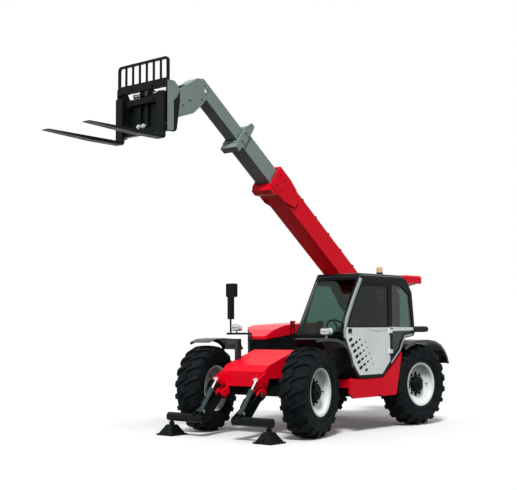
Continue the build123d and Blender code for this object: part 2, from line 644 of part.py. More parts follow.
# ---- Fenders and fittings ----
def strip(path, thickness, y_low, y_high):
    """A bent sheet that follows a path of (x, z) points, with its thickness below the path."""
    lower = []
    for index, (x, z) in enumerate(path):
        before = path[max(index - 1, 0)]
        after = path[min(index + 1, len(path) - 1)]
        run = math.hypot(after[0] - before[0], after[1] - before[1])
        rise, reach = (after[1] - before[1]) / run, (after[0] - before[0]) / run
        lower.append((x + rise * thickness, z - reach * thickness))
    return prism(path + lower[::-1], y_low, y_high)


FRONT_ARCH = [(-790, 950), (-748, 1092), (-663, 1226), (-560, 1305), (-380, 1352), (-150, 1362), (80, 1350)]
RIGHT_ARCH = [(-560, 1185), (-510, 1262), (-420, 1316), (-290, 1348), (-130, 1358), (60, 1345), (200, 1300)]
REAR_ARCH = [(-735, 930), (-690, 1035), (-610, 1140), (-490, 1228), (-320, 1288), (-90, 1312), (230, 1300),
             (440, 1250)]


def front_fenders():
    """Left mudguard, which closes the cab's front corner, and right mudguard on its arm."""
    left = strip(FRONT_ARCH, FENDER, 740, 1140) + strip(FRONT_ARCH, FENDER_LIP, 1140 - FENDER, 1140)
    (rear, low), (front, high) = CAB_OUTLINE[2:4]
    run = math.hypot(front - rear, high - low)
    out_x, out_z = (high - low) / run * 6, -(front - rear) / run * 6
    seat = [(rear + share * (front - rear), low + share * (high - low)) for share in (0.25, 0.7)]
    seat += [(x + out_x, z + out_z) for x, z in seat[::-1]]
    left += prism(seat, 760, 800) + prism(seat, 1000, 1040)
    right = strip(RIGHT_ARCH, FENDER, -1130, -740) + strip(RIGHT_ARCH, FENDER_LIP, -1130, -1130 + FENDER)
    post = [(-60, nose_top(-60)), (20, nose_top(20)), (20, 1350), (-60, 1350)]
    right += prism(post, -NOSE_HALF, -NOSE_HALF + 60) + block((-60, 20), (-740, -NOSE_HALF + 60), (1330, 1350))
    return left + right


def rear_fenders():
    """Left and right mudguards over the rear tyres, each on an arm from the frame."""
    guards = None
    rows = (  # the plate's face, its foot's outer face, the sheet's inner and outer edge, its path
        (PLATE_LEFT[1], PLATE_LEFT[1] + 12, 740, 1140, REAR_ARCH + [(560, 1200)]),
        (PLATE_RIGHT[0], PLATE_RIGHT[0] - 12, -740, -1130, REAR_ARCH),
    )
    for plate, foot, inner, outer, path in rows:
        lip = sorted((outer, outer - math.copysign(FENDER, outer)))
        reach = inner + math.copysign(20, inner)
        guard = strip(path, FENDER, *sorted((inner, outer))) + strip(path, FENDER_LIP, *lip)
        guard += block((130, 210), sorted((plate, reach)), (1285, 1303))
        guard += block((130, 210), sorted((plate, foot)), (1000, 1303))
        guards = guard if guards is None else guards + guard
    return Pos(REAR_X, 0, 0) * guards


BRACKET_X = BAY_FRONT + 24
BRACKET_Y = BAY_OUTER + BAY_CORNER + 40
BRACKET_Z = 1420
BRACKET_BAR = 16
MIRROR_END = (-480, -1000)  # x, y of the bracket bar's outer end
LAMP_SHARE = 0.6  # how far along the bracket bar the right lamp stands


def headlamps():
    """Two working headlamps on short stems: on the left mudguard and on the mirror's bracket."""
    right_x = BRACKET_X + LAMP_SHARE * (MIRROR_END[0] - BRACKET_X)
    right_y = BRACKET_Y + LAMP_SHARE * (MIRROR_END[1] - BRACKET_Y)
    lamps = []
    rows = (  # x, y and z of the lamp's middle, and the height of its stem's foot
        (-465, 900, 1450, 1315),
        (right_x, right_y, 1510, BRACKET_Z + BRACKET_BAR + RUNNING_GAP),
    )
    for x, y, z, foot in rows:
        body = block((x - 35, x + 35), (y - 85, y + 85), (z - 50, z + 50))
        body = fillet(body.edges().filter_by(Axis.X), 40)
        lamps.append(body + round_bar((x, y, z), (x, y, foot), 12))
    lamps[0] -= strip(FRONT_ARCH, 60, 740, 1140)
    return lamps[0] + lamps[1]


def mirror():
    """Mirror on its post and bracket at the front corner of the engine bay."""
    foot = [(-706.6, 1280), (BAY_FRONT, 1330), (BRACKET_X, 1330), (BRACKET_X, 1280)]
    body = prism(foot, BRACKET_Y - 30, BRACKET_Y + 50)
    end_x, end_y = MIRROR_END
    post_x = end_x - 80
    body += round_bar((BRACKET_X, BRACKET_Y, 1300), (BRACKET_X, BRACKET_Y, BRACKET_Z + 12), 14)
    body += round_bar((BRACKET_X, BRACKET_Y, BRACKET_Z), (end_x, end_y, BRACKET_Z), BRACKET_BAR)
    body += round_bar((end_x, end_y, BRACKET_Z), (post_x, end_y, BRACKET_Z), BRACKET_BAR)
    body += round_bar((post_x, end_y, BRACKET_Z), (post_x, end_y, 1660), 14)
    body += block((post_x - 40, post_x + 30), (end_y - 40, end_y + 40), (1640, 1980))
    head = block((post_x - 60, post_x + 10), (end_y - 90, end_y + 90), (1980, 2190))
    return body + fillet(head.edges().filter_by(Axis.X), 25)


def beacon():
    """Flashing beacon on the cab roof."""
    base = Cylinder(62, 50, align=(Align.CENTER, Align.CENTER, Align.MIN))
    dome = Pos(0, 0, 50) * Cylinder(48, 90, align=(Align.CENTER, Align.CENTER, Align.MIN))
    dome = fillet(dome.faces().sort_by(Axis.Z)[-1].edges(), 30)
    return Pos(REAR_X + 600, 720, CAB_TOP) * (base + dome)


def rear_lamp_housing():
    """Rounded lamp housing that stands out behind the cab."""
    front, rear = REAR_X + 230, REAR_X - 190
    body = round_bar((front, 1060, 1475), (rear, 1060, 1475), 45)
    return fillet(body.faces().sort_by(Axis.X)[0].edges(), 20)


# ---- Boom ----
def on_boom(shape):
    """Places a piece laid out from the boom's pivot, with the boom along X, at the boom's angle."""
    return Pos(PIVOT_X, BOOM_Y, PIVOT_Z) * Rot(0, -BOOM_ANGLE, 0) * shape


def box_tube(front, rear, width, height):
    """A rectangular boom section."""
    hollow = block((rear - 1, front + 1), (-width / 2 + BOOM_WALL, width / 2 - BOOM_WALL),
                   (-height / 2 + BOOM_WALL, height / 2 - BOOM_WALL))
    return block((rear, front), (-width / 2, width / 2), (-height / 2, height / 2)) - hollow


def collar(front, length, width, height, rim):
    """A frame round the mouth of a boom section."""
    ring = block((front - length, front), (-width / 2 - rim, width / 2 + rim),
                 (-height / 2 - rim, height / 2 + rim))
    return ring - block((front - length - 1, front + 1), (-width / 2, width / 2), (-height / 2, height / 2))


def wear_pads(place, length, inside, outside):
    """Slide pads on all four sides of a section, from its skin out to the next section's wall."""
    pads = None
    for index, (near, far) in enumerate(zip(inside, outside)):
        for end in (1, -1):
            centre = end * (near + far - RUNNING_GAP) / 2
            thick = far - RUNNING_GAP - near
            breadth = inside[1 - index] * 1.2
            size = (length, thick, breadth) if index == 0 else (length, breadth, thick)
            at = (place, centre, 0) if index == 0 else (place, 0, centre)
            pad = Pos(*at) * Box(*size)
            pads = pad if pads is None else pads + pad
    return pads


LIFT_PIN = (900, -310)


def boom_outer():
    """Outer section: box, front collar with its lower lip, pivot bosses and the lift cylinder's ears."""
    body = box_tube(OUTER_FRONT, -OUTER_TAIL, OUTER_WIDTH, OUTER_HEIGHT)
    body += collar(OUTER_FRONT, 260, OUTER_WIDTH, OUTER_HEIGHT, 25)
    lip = [(OUTER_FRONT - 240, -170), (OUTER_FRONT, -170), (OUTER_FRONT - 30, -250), (OUTER_FRONT - 120, -250)]
    body += prism(lip, -OUTER_WIDTH / 2 - 20, OUTER_WIDTH / 2 + 20)
    doubler = [(OUTER_FRONT, 170), (OUTER_FRONT, -185), (OUTER_FRONT - 360, -185), (OUTER_FRONT - 620, -90),
               (OUTER_FRONT - 620, 40), (OUTER_FRONT - 500, 150), (OUTER_FRONT - 300, 185)]
    for y in (-OUTER_WIDTH / 2 - 25, OUTER_WIDTH / 2):
        body += prism(doubler, y, y + 25, [1, 1, 40, 60, 60, 60, 40])
    body += cross_bar(0, 0, -OUTER_WIDTH / 2 - 30, OUTER_WIDTH / 2 + 30, 95)
    hollow = block((-150, 150), (-OUTER_WIDTH / 2 + BOOM_WALL, OUTER_WIDTH / 2 - BOOM_WALL), (-100, 100))
    body -= hollow
    ear = [(LIFT_PIN[0] - 260, -150), (LIFT_PIN[0] + 800, -150), (LIFT_PIN[0] + 620, -235),
           (LIFT_PIN[0] + 80, -370), (LIFT_PIN[0] - 80, -370)]
    for y in (-EAR_GAP - EAR, EAR_GAP):
        body += prism(ear, y, y + EAR)
    for y in (-EAR_GAP - EAR - 14, EAR_GAP + EAR):
        body += cross_bar(*LIFT_PIN, y, y + 14, LIFT_PIN_RADIUS + 8)
    body -= cross_bar(0, 0, -OUTER_WIDTH, OUTER_WIDTH, PIVOT_PIN_RADIUS + RUNNING_GAP)
    return on_boom(body)


def boom_middle():
    """Middle section with its slide pads and front collar."""
    body = box_tube(MIDDLE_FRONT, MIDDLE_REAR, MIDDLE_WIDTH, MIDDLE_HEIGHT)
    body += collar(MIDDLE_FRONT, 150, MIDDLE_WIDTH, MIDDLE_HEIGHT, 22)
    top = MIDDLE_HEIGHT / 2
    guide = [(MIDDLE_FRONT - 150, top), (MIDDLE_FRONT, top), (MIDDLE_FRONT - 60, 280),
             (MIDDLE_FRONT - 140, 280)]
    for y in (-MIDDLE_WIDTH / 2 - 22, MIDDLE_WIDTH / 2 + 6):
        body += prism(guide, y, y + 16, [1, 1, 20, 20])
    body += cross_bar(MIDDLE_FRONT - 100, 250, -MIDDLE_WIDTH / 2 - 10, MIDDLE_WIDTH / 2 + 10, 22)
    body += block((MIDDLE_FRONT - 110, MIDDLE_FRONT - 10), (-150, 150), (-240, -top - 20))
    body += wear_pads(MIDDLE_REAR + 150, 120, (MIDDLE_WIDTH / 2, MIDDLE_HEIGHT / 2),
                      (OUTER_WIDTH / 2 - BOOM_WALL, OUTER_HEIGHT / 2 - BOOM_WALL))
    return on_boom(body)


def boom_inner():
    """Inner section with the jib head that bends down to the carriage's pin."""
    body = box_tube(HEAD_REAR + 60, INNER_REAR, INNER_WIDTH, INNER_HEIGHT)
    body += wear_pads(INNER_REAR + 150, 120, (INNER_WIDTH / 2, INNER_HEIGHT / 2),
                      (MIDDLE_WIDTH / 2 - BOOM_WALL, MIDDLE_HEIGHT / 2 - BOOM_WALL))
    pin_x, pin_z = CARRIAGE_PIN
    cheek = [(HEAD_REAR, INNER_HEIGHT / 2), (HEAD_REAR + 200, INNER_HEIGHT / 2), (HEAD_REAR + 290, 20),
             (HEAD_REAR + 470, -400), (pin_x + 55, pin_z - 20), (pin_x, pin_z - 60),
             (pin_x - 60, pin_z - 20), (HEAD_REAR + 60, -430), (HEAD_REAR, -180)]
    for y in (HEAD_HALF - HEAD_PLATE, -HEAD_HALF):
        body += prism(cheek, y, y + HEAD_PLATE, [1, 90, 120, 120, 40, 55, 40, 150, 60])
    top = [(HEAD_REAR + 60, INNER_HEIGHT / 2 - BOOM_WALL), (HEAD_REAR + 60, INNER_HEIGHT / 2),
           (HEAD_REAR + 200, INNER_HEIGHT / 2), (HEAD_REAR + 290, 20), (HEAD_REAR + 380, -190),
           (HEAD_REAR + 366, -190), (HEAD_REAR + 276, 16), (HEAD_REAR + 192, INNER_HEIGHT / 2 - BOOM_WALL)]
    body += prism(top, -HEAD_HALF, HEAD_HALF)
    body += cross_bar(pin_x, pin_z, -HEAD_HALF, HEAD_HALF, CARRIAGE_PIN_RADIUS)
    body += cross_bar(*TILT_BASE, -HEAD_HALF, HEAD_HALF, TILT_PIN_RADIUS)
    for y in (TILT_GAP, -HEAD_HALF):
        body += cross_bar(*TILT_BASE, y, y + HEAD_HALF - TILT_GAP, TILT_PIN_RADIUS + 12)
    return on_boom(body)


def hose_line():
    """Two hoses in clips along the top edge of the outer section."""
    low, high = 500, OUTER_FRONT - 420
    top = OUTER_HEIGHT / 2
    body = block((low, low + 40), (60, 140), (top, top + 34))
    for x in range(low + 400, high, 400):
        body += block((x, x + 40), (60, 140), (top, top + 34))
    for y in (84, 116):
        body += round_bar((low - 60, y, top + 18), (high, y, top + 18), 11)
    return on_boom(body)


# ---- Carriage: laid out from its pin, with the forks level ----
def at_carriage(shape):
    """Places a piece laid out from the carriage's pin."""
    along, below = CARRIAGE_PIN
    slope = math.radians(BOOM_ANGLE)
    x = PIVOT_X + along * math.cos(slope) - below * math.sin(slope)
    z = PIVOT_Z + along * math.sin(slope) + below * math.cos(slope)
    return Pos(x, BOOM_Y, z) * shape


TILT_PIN = (43, 190)


def fork_carriage():
    """Carriage frame: side plates, upper and lower bars and the two ears that hold it on the head."""
    wide = (-CARRIAGE_HALF, CARRIAGE_HALF)
    body = block((CARRIAGE_FACE - 60, CARRIAGE_FACE), wide, (BAR_TOP - 80, BAR_TOP))
    body += block((CARRIAGE_FACE - 60, CARRIAGE_FACE), wide, (BAR_LOW, BAR_LOW + 80))
    body += block((CARRIAGE_FACE - 50, CARRIAGE_FACE), wide, (RAIL_TOP - 80, RAIL_TOP))
    side = [(CARRIAGE_BACK, BAR_LOW), (CARRIAGE_FACE, BAR_LOW), (CARRIAGE_FACE, BAR_TOP),
            (CARRIAGE_BACK + 30, BAR_TOP), (CARRIAGE_BACK - 60, BAR_TOP - 120), (CARRIAGE_BACK - 60, 60)]
    for y in (CARRIAGE_HALF - CARRIAGE_PLATE, -CARRIAGE_HALF):
        body += prism(side, y, y + CARRIAGE_PLATE, [60, 1, 1, 40, 60, 60])
    ear = [(-48, -30), (30, -60), (CARRIAGE_FACE - 40, BAR_LOW + 20), (CARRIAGE_FACE - 40, BAR_TOP - 20),
           (CARRIAGE_BACK, BAR_TOP - 60), (TILT_PIN[0] + 30, TILT_PIN[1] + 45),
           (TILT_PIN[0] - 40, TILT_PIN[1] + 20)]
    for y in (-EAR_OUTER, TILT_GAP):
        plate = prism(ear, y, y + EAR_OUTER - TILT_GAP, [30, 60, 40, 40, 120, 40, 30])
        plate -= cross_bar(0, 0, y - 5, y + 25, CARRIAGE_PIN_RADIUS + RUNNING_GAP)
        body += plate
    return at_carriage(body)


TILT_BASE = (5408, -20)
BACKREST_HEIGHT = 310
BACKREST_BARS = 8


def load_backrest():
    """Guard above the carriage: a bent frame with round upper corners, and upright bars inside it."""
    x, low, high = CARRIAGE_FACE - 30, BAR_TOP, BAR_TOP + BACKREST_HEIGHT
    rail, half = 32, CARRIAGE_HALF

    def loop(inset, corner):
        """The frame's edge, drawn in by an inset, in the plane across the machine."""
        ends = [(x - 16, -half + inset, low + inset), (x - 16, half - inset, low + inset),
                (x - 16, half - inset, high - inset), (x - 16, -half + inset, high - inset)]
        return make_face(FilletPolyline(*ends, radius=[1, 1, corner, corner], close=True))

    body = extrude(loop(0, 60) - loop(rail, 60 - rail), amount=32, dir=(1, 0, 0))
    step = (2 * half - rail) / (BACKREST_BARS - 1)
    for index in range(1, BACKREST_BARS - 1):
        y = -half + rail / 2 + index * step
        body += block((x - 12, x + 12), (y - 11, y + 11), (low + rail / 2, high - rail / 2))
    return at_carriage(body)


def forks():
    """Two pallet forks hooked over the carriage's bars."""
    face = CARRIAGE_FACE + RUNNING_GAP
    heel = FORK_TOP_LEVEL - FORK_THICK
    tip = face + FORK_LENGTH
    outline = [
        (face - 75, RAIL_TOP + 30), (face + FORK_THICK, RAIL_TOP + 30), (face + FORK_THICK, FORK_TOP_LEVEL + 20),
        (face + FORK_THICK + 20, FORK_TOP_LEVEL), (tip, FORK_TOP_LEVEL), (tip, FORK_TOP_LEVEL - 10),
        (face + 0.4 * FORK_LENGTH, heel), (face + 25, heel), (face, heel + 25), (face, RAIL_TOP + RUNNING_GAP),
        (face - 51, RAIL_TOP + RUNNING_GAP), (face - 51, RAIL_TOP - 40), (face - 75, RAIL_TOP - 40)]
    place = CARRIAGE_HALF - CARRIAGE_PLATE - RUNNING_GAP - FORK_WIDTH / 2
    pair = [prism(outline, y - FORK_WIDTH / 2, y + FORK_WIDTH / 2) for y in (place, -place)]
    return at_carriage(pair[0] + pair[1])


# ---- Cylinders ----
class Ram:
    """A hydraulic cylinder between a base pin and a rod pin, both given as (x, z) at rest."""

    def __init__(self, base, tip, least, most, barrel, rod, eye, pin, width, y):
        self.base, self.tip, self.y = base, tip, y
        self.pin = pin
        self.least, self.most = least, most
        self.barrel_radius, self.rod_radius, self.eye, self.width = barrel, rod, eye, width
        self.length = math.dist(base, tip)
        self.angle = math.degrees(math.atan2(tip[1] - base[1], tip[0] - base[0]))
        self.mouth = least - eye - 12
        self.rod_length = least - eye - 25

    def place(self, shape):
        """Moves a piece laid out along X from the base pin to the cylinder's place."""
        return Pos(self.base[0], self.y, self.base[1]) * Rot(0, -self.angle, 0) * shape

    def barrel(self):
        """Barrel with its base eye and the gland round the rod."""
        bore = self.barrel_radius * 0.84
        slide = self.rod_radius + RUNNING_GAP
        body = round_bar((self.eye * 0.6, 0, 0), (self.mouth, 0, 0), self.barrel_radius)
        body += round_bar((self.mouth - 46, 0, 0), (self.mouth, 0, 0), self.barrel_radius + 5) + self.eye_at(0)
        body -= round_bar((self.eye + 16, 0, 0), (self.mouth - 40, 0, 0), bore)
        body -= round_bar((self.mouth - 41, 0, 0), (self.mouth + 1, 0, 0), slide)
        body -= cross_bar(0, 0, -self.width, self.width, self.pin + RUNNING_GAP)
        return self.place(body)

    def eye_at(self, x):
        """An eye with its bore for the pin."""
        half = self.width / 2 - RUNNING_GAP
        return cross_bar(x, 0, -half, half, self.eye) - cross_bar(x, 0, -half, half, self.pin + RUNNING_GAP)

    def rod(self):
        """Rod with its piston and its eye, filled by the pin that it turns on."""
        start = self.length - self.rod_length
        piston = self.barrel_radius * 0.84 - RUNNING_GAP
        body = round_bar((start, 0, 0), (self.length, 0, 0), self.rod_radius)
        body += round_bar((start + 6, 0, 0), (start + 40, 0, 0), piston)
        half = self.width / 2 - RUNNING_GAP
        body += cross_bar(self.length, 0, -half, half, self.eye)
        return self.place(body)


def boom_point(along, below, angle=BOOM_ANGLE):
    """Where a point of the boom lies in (x, z) at a boom angle."""
    slope = math.radians(angle)
    return (PIVOT_X + along * math.cos(slope) - below * math.sin(slope),
            PIVOT_Z + along * math.sin(slope) + below * math.cos(slope))


def turn_point(point, centre, angle):
    """A point (x, z) turned about a centre by an angle that lifts what lies ahead of it."""
    slope = math.radians(angle)
    x, z = point[0] - centre[0], point[1] - centre[1]
    return (centre[0] + x * math.cos(slope) - z * math.sin(slope),
            centre[1] + x * math.sin(slope) + z * math.cos(slope))


def length_rate(base, tips):
    """Even growth of a cylinder per degree between its first and last rod pin, with their angles."""
    (first, first_angle), (last, last_angle) = tips
    return (math.dist(base, last) - math.dist(base, first)) / (last_angle - first_angle)


LIFT_RATE = length_rate(LIFT_BASE, ((boom_point(*LIFT_PIN, BOOM_LOW), BOOM_LOW),
                                    (boom_point(*LIFT_PIN, BOOM_HIGH), BOOM_HIGH)))
LIFT_REST = math.dist(LIFT_BASE, boom_point(*LIFT_PIN))
LIFT = Ram(LIFT_BASE, boom_point(*LIFT_PIN), LIFT_REST + LIFT_RATE * (BOOM_LOW - BOOM_ANGLE),
           LIFT_REST + LIFT_RATE * (BOOM_HIGH - BOOM_ANGLE), 68, 38, 50, LIFT_PIN_RADIUS, 2 * EAR_GAP, BOOM_Y)

PIN_AT = boom_point(*CARRIAGE_PIN)
TILT_TIP = (PIN_AT[0] + TILT_PIN[0], PIN_AT[1] + TILT_PIN[1])
TILT_START = boom_point(*TILT_BASE)
TILT_RATE = length_rate(TILT_START, ((turn_point(TILT_TIP, PIN_AT, CROWD), -CROWD),
                                     (turn_point(TILT_TIP, PIN_AT, -DUMP), DUMP)))
TILT_REST = math.dist(TILT_START, TILT_TIP)
TILT = Ram(TILT_START, TILT_TIP, TILT_REST - TILT_RATE * CROWD, TILT_REST + TILT_RATE * DUMP,
           46, 26, 34, TILT_PIN_RADIUS, 2 * TILT_GAP, BOOM_Y)

STAB_FOOT = (FOOT[0] - 40, FOOT[1] + 100)
STAB_RATE = length_rate(STAB_TOP, ((STAB_FOOT, 0), (turn_point(STAB_FOOT, LEG_PIVOT, LEG_RAISE), LEG_RAISE)))
STAB_REST = math.dist(STAB_TOP, STAB_FOOT)


def stabiliser_ram(side):
    """Stabiliser cylinder, with its barrel at the leg's foot and its rod's eye at the nose."""
    return Ram(STAB_FOOT, STAB_TOP, STAB_REST + STAB_RATE * LEG_RAISE, STAB_REST, 36, 20, 28, STAB_PIN_RADIUS,
               2 * STAB_GAP, side * LEG_Y)


# ---- Stabilisers ----
def stabiliser_leg(side):
    """Leg plates from the lug down to the foot beam, and the beam out to the pad."""
    arm = [(LEG_PIVOT[0] - 40, LEG_PIVOT[1] - 20), (LEG_PIVOT[0], LEG_PIVOT[1] + 40),
           (LEG_PIVOT[0] + 50, LEG_PIVOT[1] + 20), (FOOT[0] + 60, FOOT[1] + 60), (FOOT[0] + 60, FOOT[1] - 50),
           (FOOT[0] - 120, FOOT[1] - 50)]
    body = None
    for gap in (-STAB_GAP - STAB_PLATE, STAB_GAP):
        y = sorted((side * (LEG_Y + gap), side * (LEG_Y + gap + STAB_PLATE)))
        plate = prism(arm, *y)
        plate -= cross_bar(*LEG_PIVOT, y[0] - 5, y[1] + 5, LEG_PIN_RADIUS + RUNNING_GAP)
        body = plate if body is None else body + plate
    back = [(LEG_PIVOT[0] + 20, LEG_PIVOT[1] - 75), (FOOT[0] - 120, FOOT[1] - 50), (FOOT[0] + 60, FOOT[1] - 50),
            (FOOT[0] + 60, FOOT[1] - 34), (FOOT[0] - 112, FOOT[1] - 34), (LEG_PIVOT[0] + 30, LEG_PIVOT[1] - 62)]
    reach = STAB_GAP + STAB_PLATE
    body += prism(back, *sorted((side * (LEG_Y - reach), side * (LEG_Y + reach))))
    body += cross_bar(*STAB_FOOT, *sorted((side * (LEG_Y - reach), side * (LEG_Y + reach))), STAB_PIN_RADIUS)
    beam = sorted((side * (LEG_Y - 90), side * (PAD_Y + 50)))
    body += cross_bar(*FOOT, *beam, FOOT_BEAM_RADIUS)
    tab = sorted((side * (PAD_Y - 12), side * (PAD_Y + 12)))
    body += block((FOOT[0] - 18, FOOT[0] + 18), tab, (PAD_PIN_Z, FOOT[1]))
    body += cross_bar(FOOT[0], PAD_PIN_Z, *tab, 18)
    body += cross_bar(FOOT[0], PAD_PIN_Z, *sorted((side * (PAD_Y - 42), side * (PAD_Y + 42))), PAD_PIN_RADIUS)
    return body


def stabiliser_pad(side):
    """Pyramid foot pad with its clevis on the foot beam's end."""
    base = Pos(0, 0, 12) * Box(PAD_SIZE, PAD_SIZE, 24)
    lower = Plane.XY.offset(24) * Rectangle(PAD_SIZE - 40, PAD_SIZE - 40)
    upper = Plane.XY.offset(PAD_HEIGHT) * Rectangle(110, 110)
    body = base + loft([lower, upper])
    for y in (18, -34):
        cheek = block((-20, 20), (y, y + 16), (PAD_HEIGHT, PAD_PIN_Z)) + cross_bar(0, PAD_PIN_Z, y, y + 16, 20)
        body += cheek - cross_bar(0, PAD_PIN_Z, y - 5, y + 21, PAD_PIN_RADIUS + RUNNING_GAP)
    return Pos(FOOT[0], side * PAD_Y, 0) * body


SIDES = {"left": 1, "right": -1}
AXLES = {  # axle name: its place along X, its steering angle at rest, the differential's place
    "front": (0, FRONT_STEER, 0),
    "rear": (REAR_X, REAR_STEER, 120),
}


def all_nodes():
    """Every piece of the machine by its node name."""
    nodes = {
        "chassis_frame": chassis_frame(), "tower_cowl": tower_cowl(), "drive_shafts": drive_shafts(),
        "fuel_tank": fuel_tank(), "engine_block": engine_block(), "engine_panels": engine_panels(),
        "engine_hood": engine_hood(), "cab_frame": cab_frame(), "cab_roof": cab_roof(),
        "windscreen": windscreen(), "fixed_glass": fixed_glass(), "door_panel": door_panel(),
        "door_window": door_window(), "dashboard": dashboard(), "steering_wheel": steering_wheel(),
        "seat_base": seat_base(), "seat_cushion": seat_cushion(), "seat_back": seat_back(),
        "front_fenders": front_fenders(), "rear_fenders": rear_fenders(), "headlamps": headlamps(),
        "mirror": mirror(), "beacon": beacon(), "rear_lamp_housing": rear_lamp_housing(),
        "boom_outer": boom_outer(), "boom_middle": boom_middle(), "boom_inner": boom_inner(),
        "hose_line": hose_line(), "fork_carriage": fork_carriage(), "load_backrest": load_backrest(),
        "forks": forks(), "lift_barrel": LIFT.barrel(), "lift_rod": LIFT.rod(),
        "tilt_barrel": TILT.barrel(), "tilt_rod": TILT.rod(),
    }
    for name, (x, steer, differential_y) in AXLES.items():
        nodes[f"{name}_axle"] = Pos(x, 0, TYRE_RADIUS) * axle(differential_y)
        for hand, side in SIDES.items():
            nodes[f"knuckle_{name}_{hand}"] = at_wheel(knuckle(), x, side, steer)
            nodes[f"rim_{name}_{hand}"] = at_wheel(rim(), x, side, steer)
            nodes[f"tyre_{name}_{hand}"] = at_wheel(tyre(), x, side, steer)
    for hand, side in SIDES.items():
        ram = stabiliser_ram(side)
        nodes[f"stabiliser_leg_{hand}"] = stabiliser_leg(side)
        nodes[f"stabiliser_pad_{hand}"] = stabiliser_pad(side)
        nodes[f"stabiliser_barrel_{hand}"] = ram.barrel()
        nodes[f"stabiliser_rod_{hand}"] = ram.rod()
    return nodes


FORK_TIP_X = PIN_AT[0] + CARRIAGE_FACE + RUNNING_GAP + FORK_LENGTH
ORIGIN_X = (FORK_TIP_X + COWL_REAR_X) / 2

if __name__ == "__main__":
    os.makedirs("parts", exist_ok=True)
    for name, shape in all_nodes().items():
        export_step(Pos(-ORIGIN_X, 0, 0) * shape, f"parts/{name}.step")
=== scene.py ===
"""Looks of the telehandler, piece by piece in the order that it is put together. Metres, in the frame's own place."""
import json
from math import cos, exp, pi, radians, sin

import bmesh
import bpy
from mathutils import Matrix, Vector


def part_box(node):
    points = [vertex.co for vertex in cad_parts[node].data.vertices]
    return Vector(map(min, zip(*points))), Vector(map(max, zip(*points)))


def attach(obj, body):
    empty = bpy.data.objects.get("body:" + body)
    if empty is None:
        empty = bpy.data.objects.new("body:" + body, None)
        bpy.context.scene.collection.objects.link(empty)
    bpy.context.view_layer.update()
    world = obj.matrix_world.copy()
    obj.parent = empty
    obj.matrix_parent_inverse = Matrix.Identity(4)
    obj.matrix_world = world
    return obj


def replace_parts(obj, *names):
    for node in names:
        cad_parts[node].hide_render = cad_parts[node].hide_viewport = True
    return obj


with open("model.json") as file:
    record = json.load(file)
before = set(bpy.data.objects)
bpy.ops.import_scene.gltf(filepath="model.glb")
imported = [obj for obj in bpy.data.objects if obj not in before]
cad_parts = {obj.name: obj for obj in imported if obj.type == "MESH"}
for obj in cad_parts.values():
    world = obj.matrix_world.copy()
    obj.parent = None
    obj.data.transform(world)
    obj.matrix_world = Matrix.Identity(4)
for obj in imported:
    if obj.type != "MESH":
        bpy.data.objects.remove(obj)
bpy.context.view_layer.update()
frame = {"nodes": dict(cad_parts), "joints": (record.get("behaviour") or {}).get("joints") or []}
scene = bpy.context.scene

# ---- Chassis frame and tower cover ----
# Welded steel plate, blasted and sprayed with two coats of red enamel. The coat is smooth with a faint orange
# peel, and it is a little thinner and duller along the plates' edges.
MM = 0.001
front_low, front_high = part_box("front_axle")
AXLE_X = (front_low.x + front_high.x) / 2
SIDES = {"left": 1, "right": -1}
joints = {joint["name"]: joint for joint in frame["joints"]}


def linear(code):
    """Linear colour of an sRGB hex value."""
    levels = [int(code[at:at + 2], 16) / 255 for at in (1, 3, 5)]
    return [v / 12.92 if v <= 0.04045 else ((v + 0.055) / 1.055) ** 2.4 for v in levels] + [1.0]


def feed(tree, node, inputs):
    """Fills a node's inputs with plain values or with the sockets that feed them."""
    for name, value in inputs.items():
        if isinstance(value, bpy.types.NodeSocket):
            tree.links.new(value, node.inputs[name])
        else:
            node.inputs[name].default_value = value


def add_node(tree, kind, inputs=None, **settings):
    """Adds one node: settings are its properties, inputs are what it is fed."""
    made = tree.nodes.new(kind)
    for name, value in settings.items():
        setattr(made, name, value)
    feed(tree, made, inputs or {})
    return made


def empty_tree(owner):
    """The node tree of a material or a world, emptied."""
    owner.use_nodes = True
    owner.node_tree.nodes.clear()
    return owner.node_tree


def start_material(name):
    """A new material: its node tree, its shader and the object coordinates that its patterns lie on."""
    material = bpy.data.materials.new(name)
    tree = empty_tree(material)
    shader = add_node(tree, "ShaderNodeBsdfPrincipled")
    add_node(tree, "ShaderNodeOutputMaterial", {"Surface": shader.outputs["BSDF"]})
    return material, tree, shader, add_node(tree, "ShaderNodeTexCoord").outputs["Object"]


def noise(tree, place, grain, detail):
    """A cloudy pattern in patches as wide as the grain, in millimetres."""
    return add_node(tree, "ShaderNodeTexNoise", {
        "Vector": place, "Scale": 1 / (grain * MM), "Detail": detail}).outputs["Fac"]


def spread_of(tree, place, grain, low, high, detail=3.0):
    """A value that wanders between two levels in patches as wide as the grain."""
    return add_node(tree, "ShaderNodeMapRange", {
        "Value": noise(tree, place, grain, detail), "From Min": 0.3, "From Max": 0.7, "To Min": low,
        "To Max": high}).outputs["Result"]


def drift(tree, place, code, grain, low, high):
    """A colour that is a little darker or lighter in patches as wide as the grain."""
    return add_node(tree, "ShaderNodeHueSaturation", {
        "Color": linear(code), "Value": spread_of(tree, place, grain, low, high)}).outputs["Color"]


def blend_of(tree, share, first, second):
    """One colour that gives way to another by a share."""
    return add_node(tree, "ShaderNodeMix", {"Factor": share, "A": first, "B": second},
                    data_type="RGBA").outputs["Result"]


def relief(tree, height, strength, depth, ground=None):
    """A pattern raised from a surface to a depth in millimetres, over rounded edges if their normal is given."""
    start = {"Normal": ground} if ground else {}
    return add_node(tree, "ShaderNodeBump", {"Height": height, "Strength": strength, "Distance": depth * MM,
                                             **start}).outputs["Normal"]


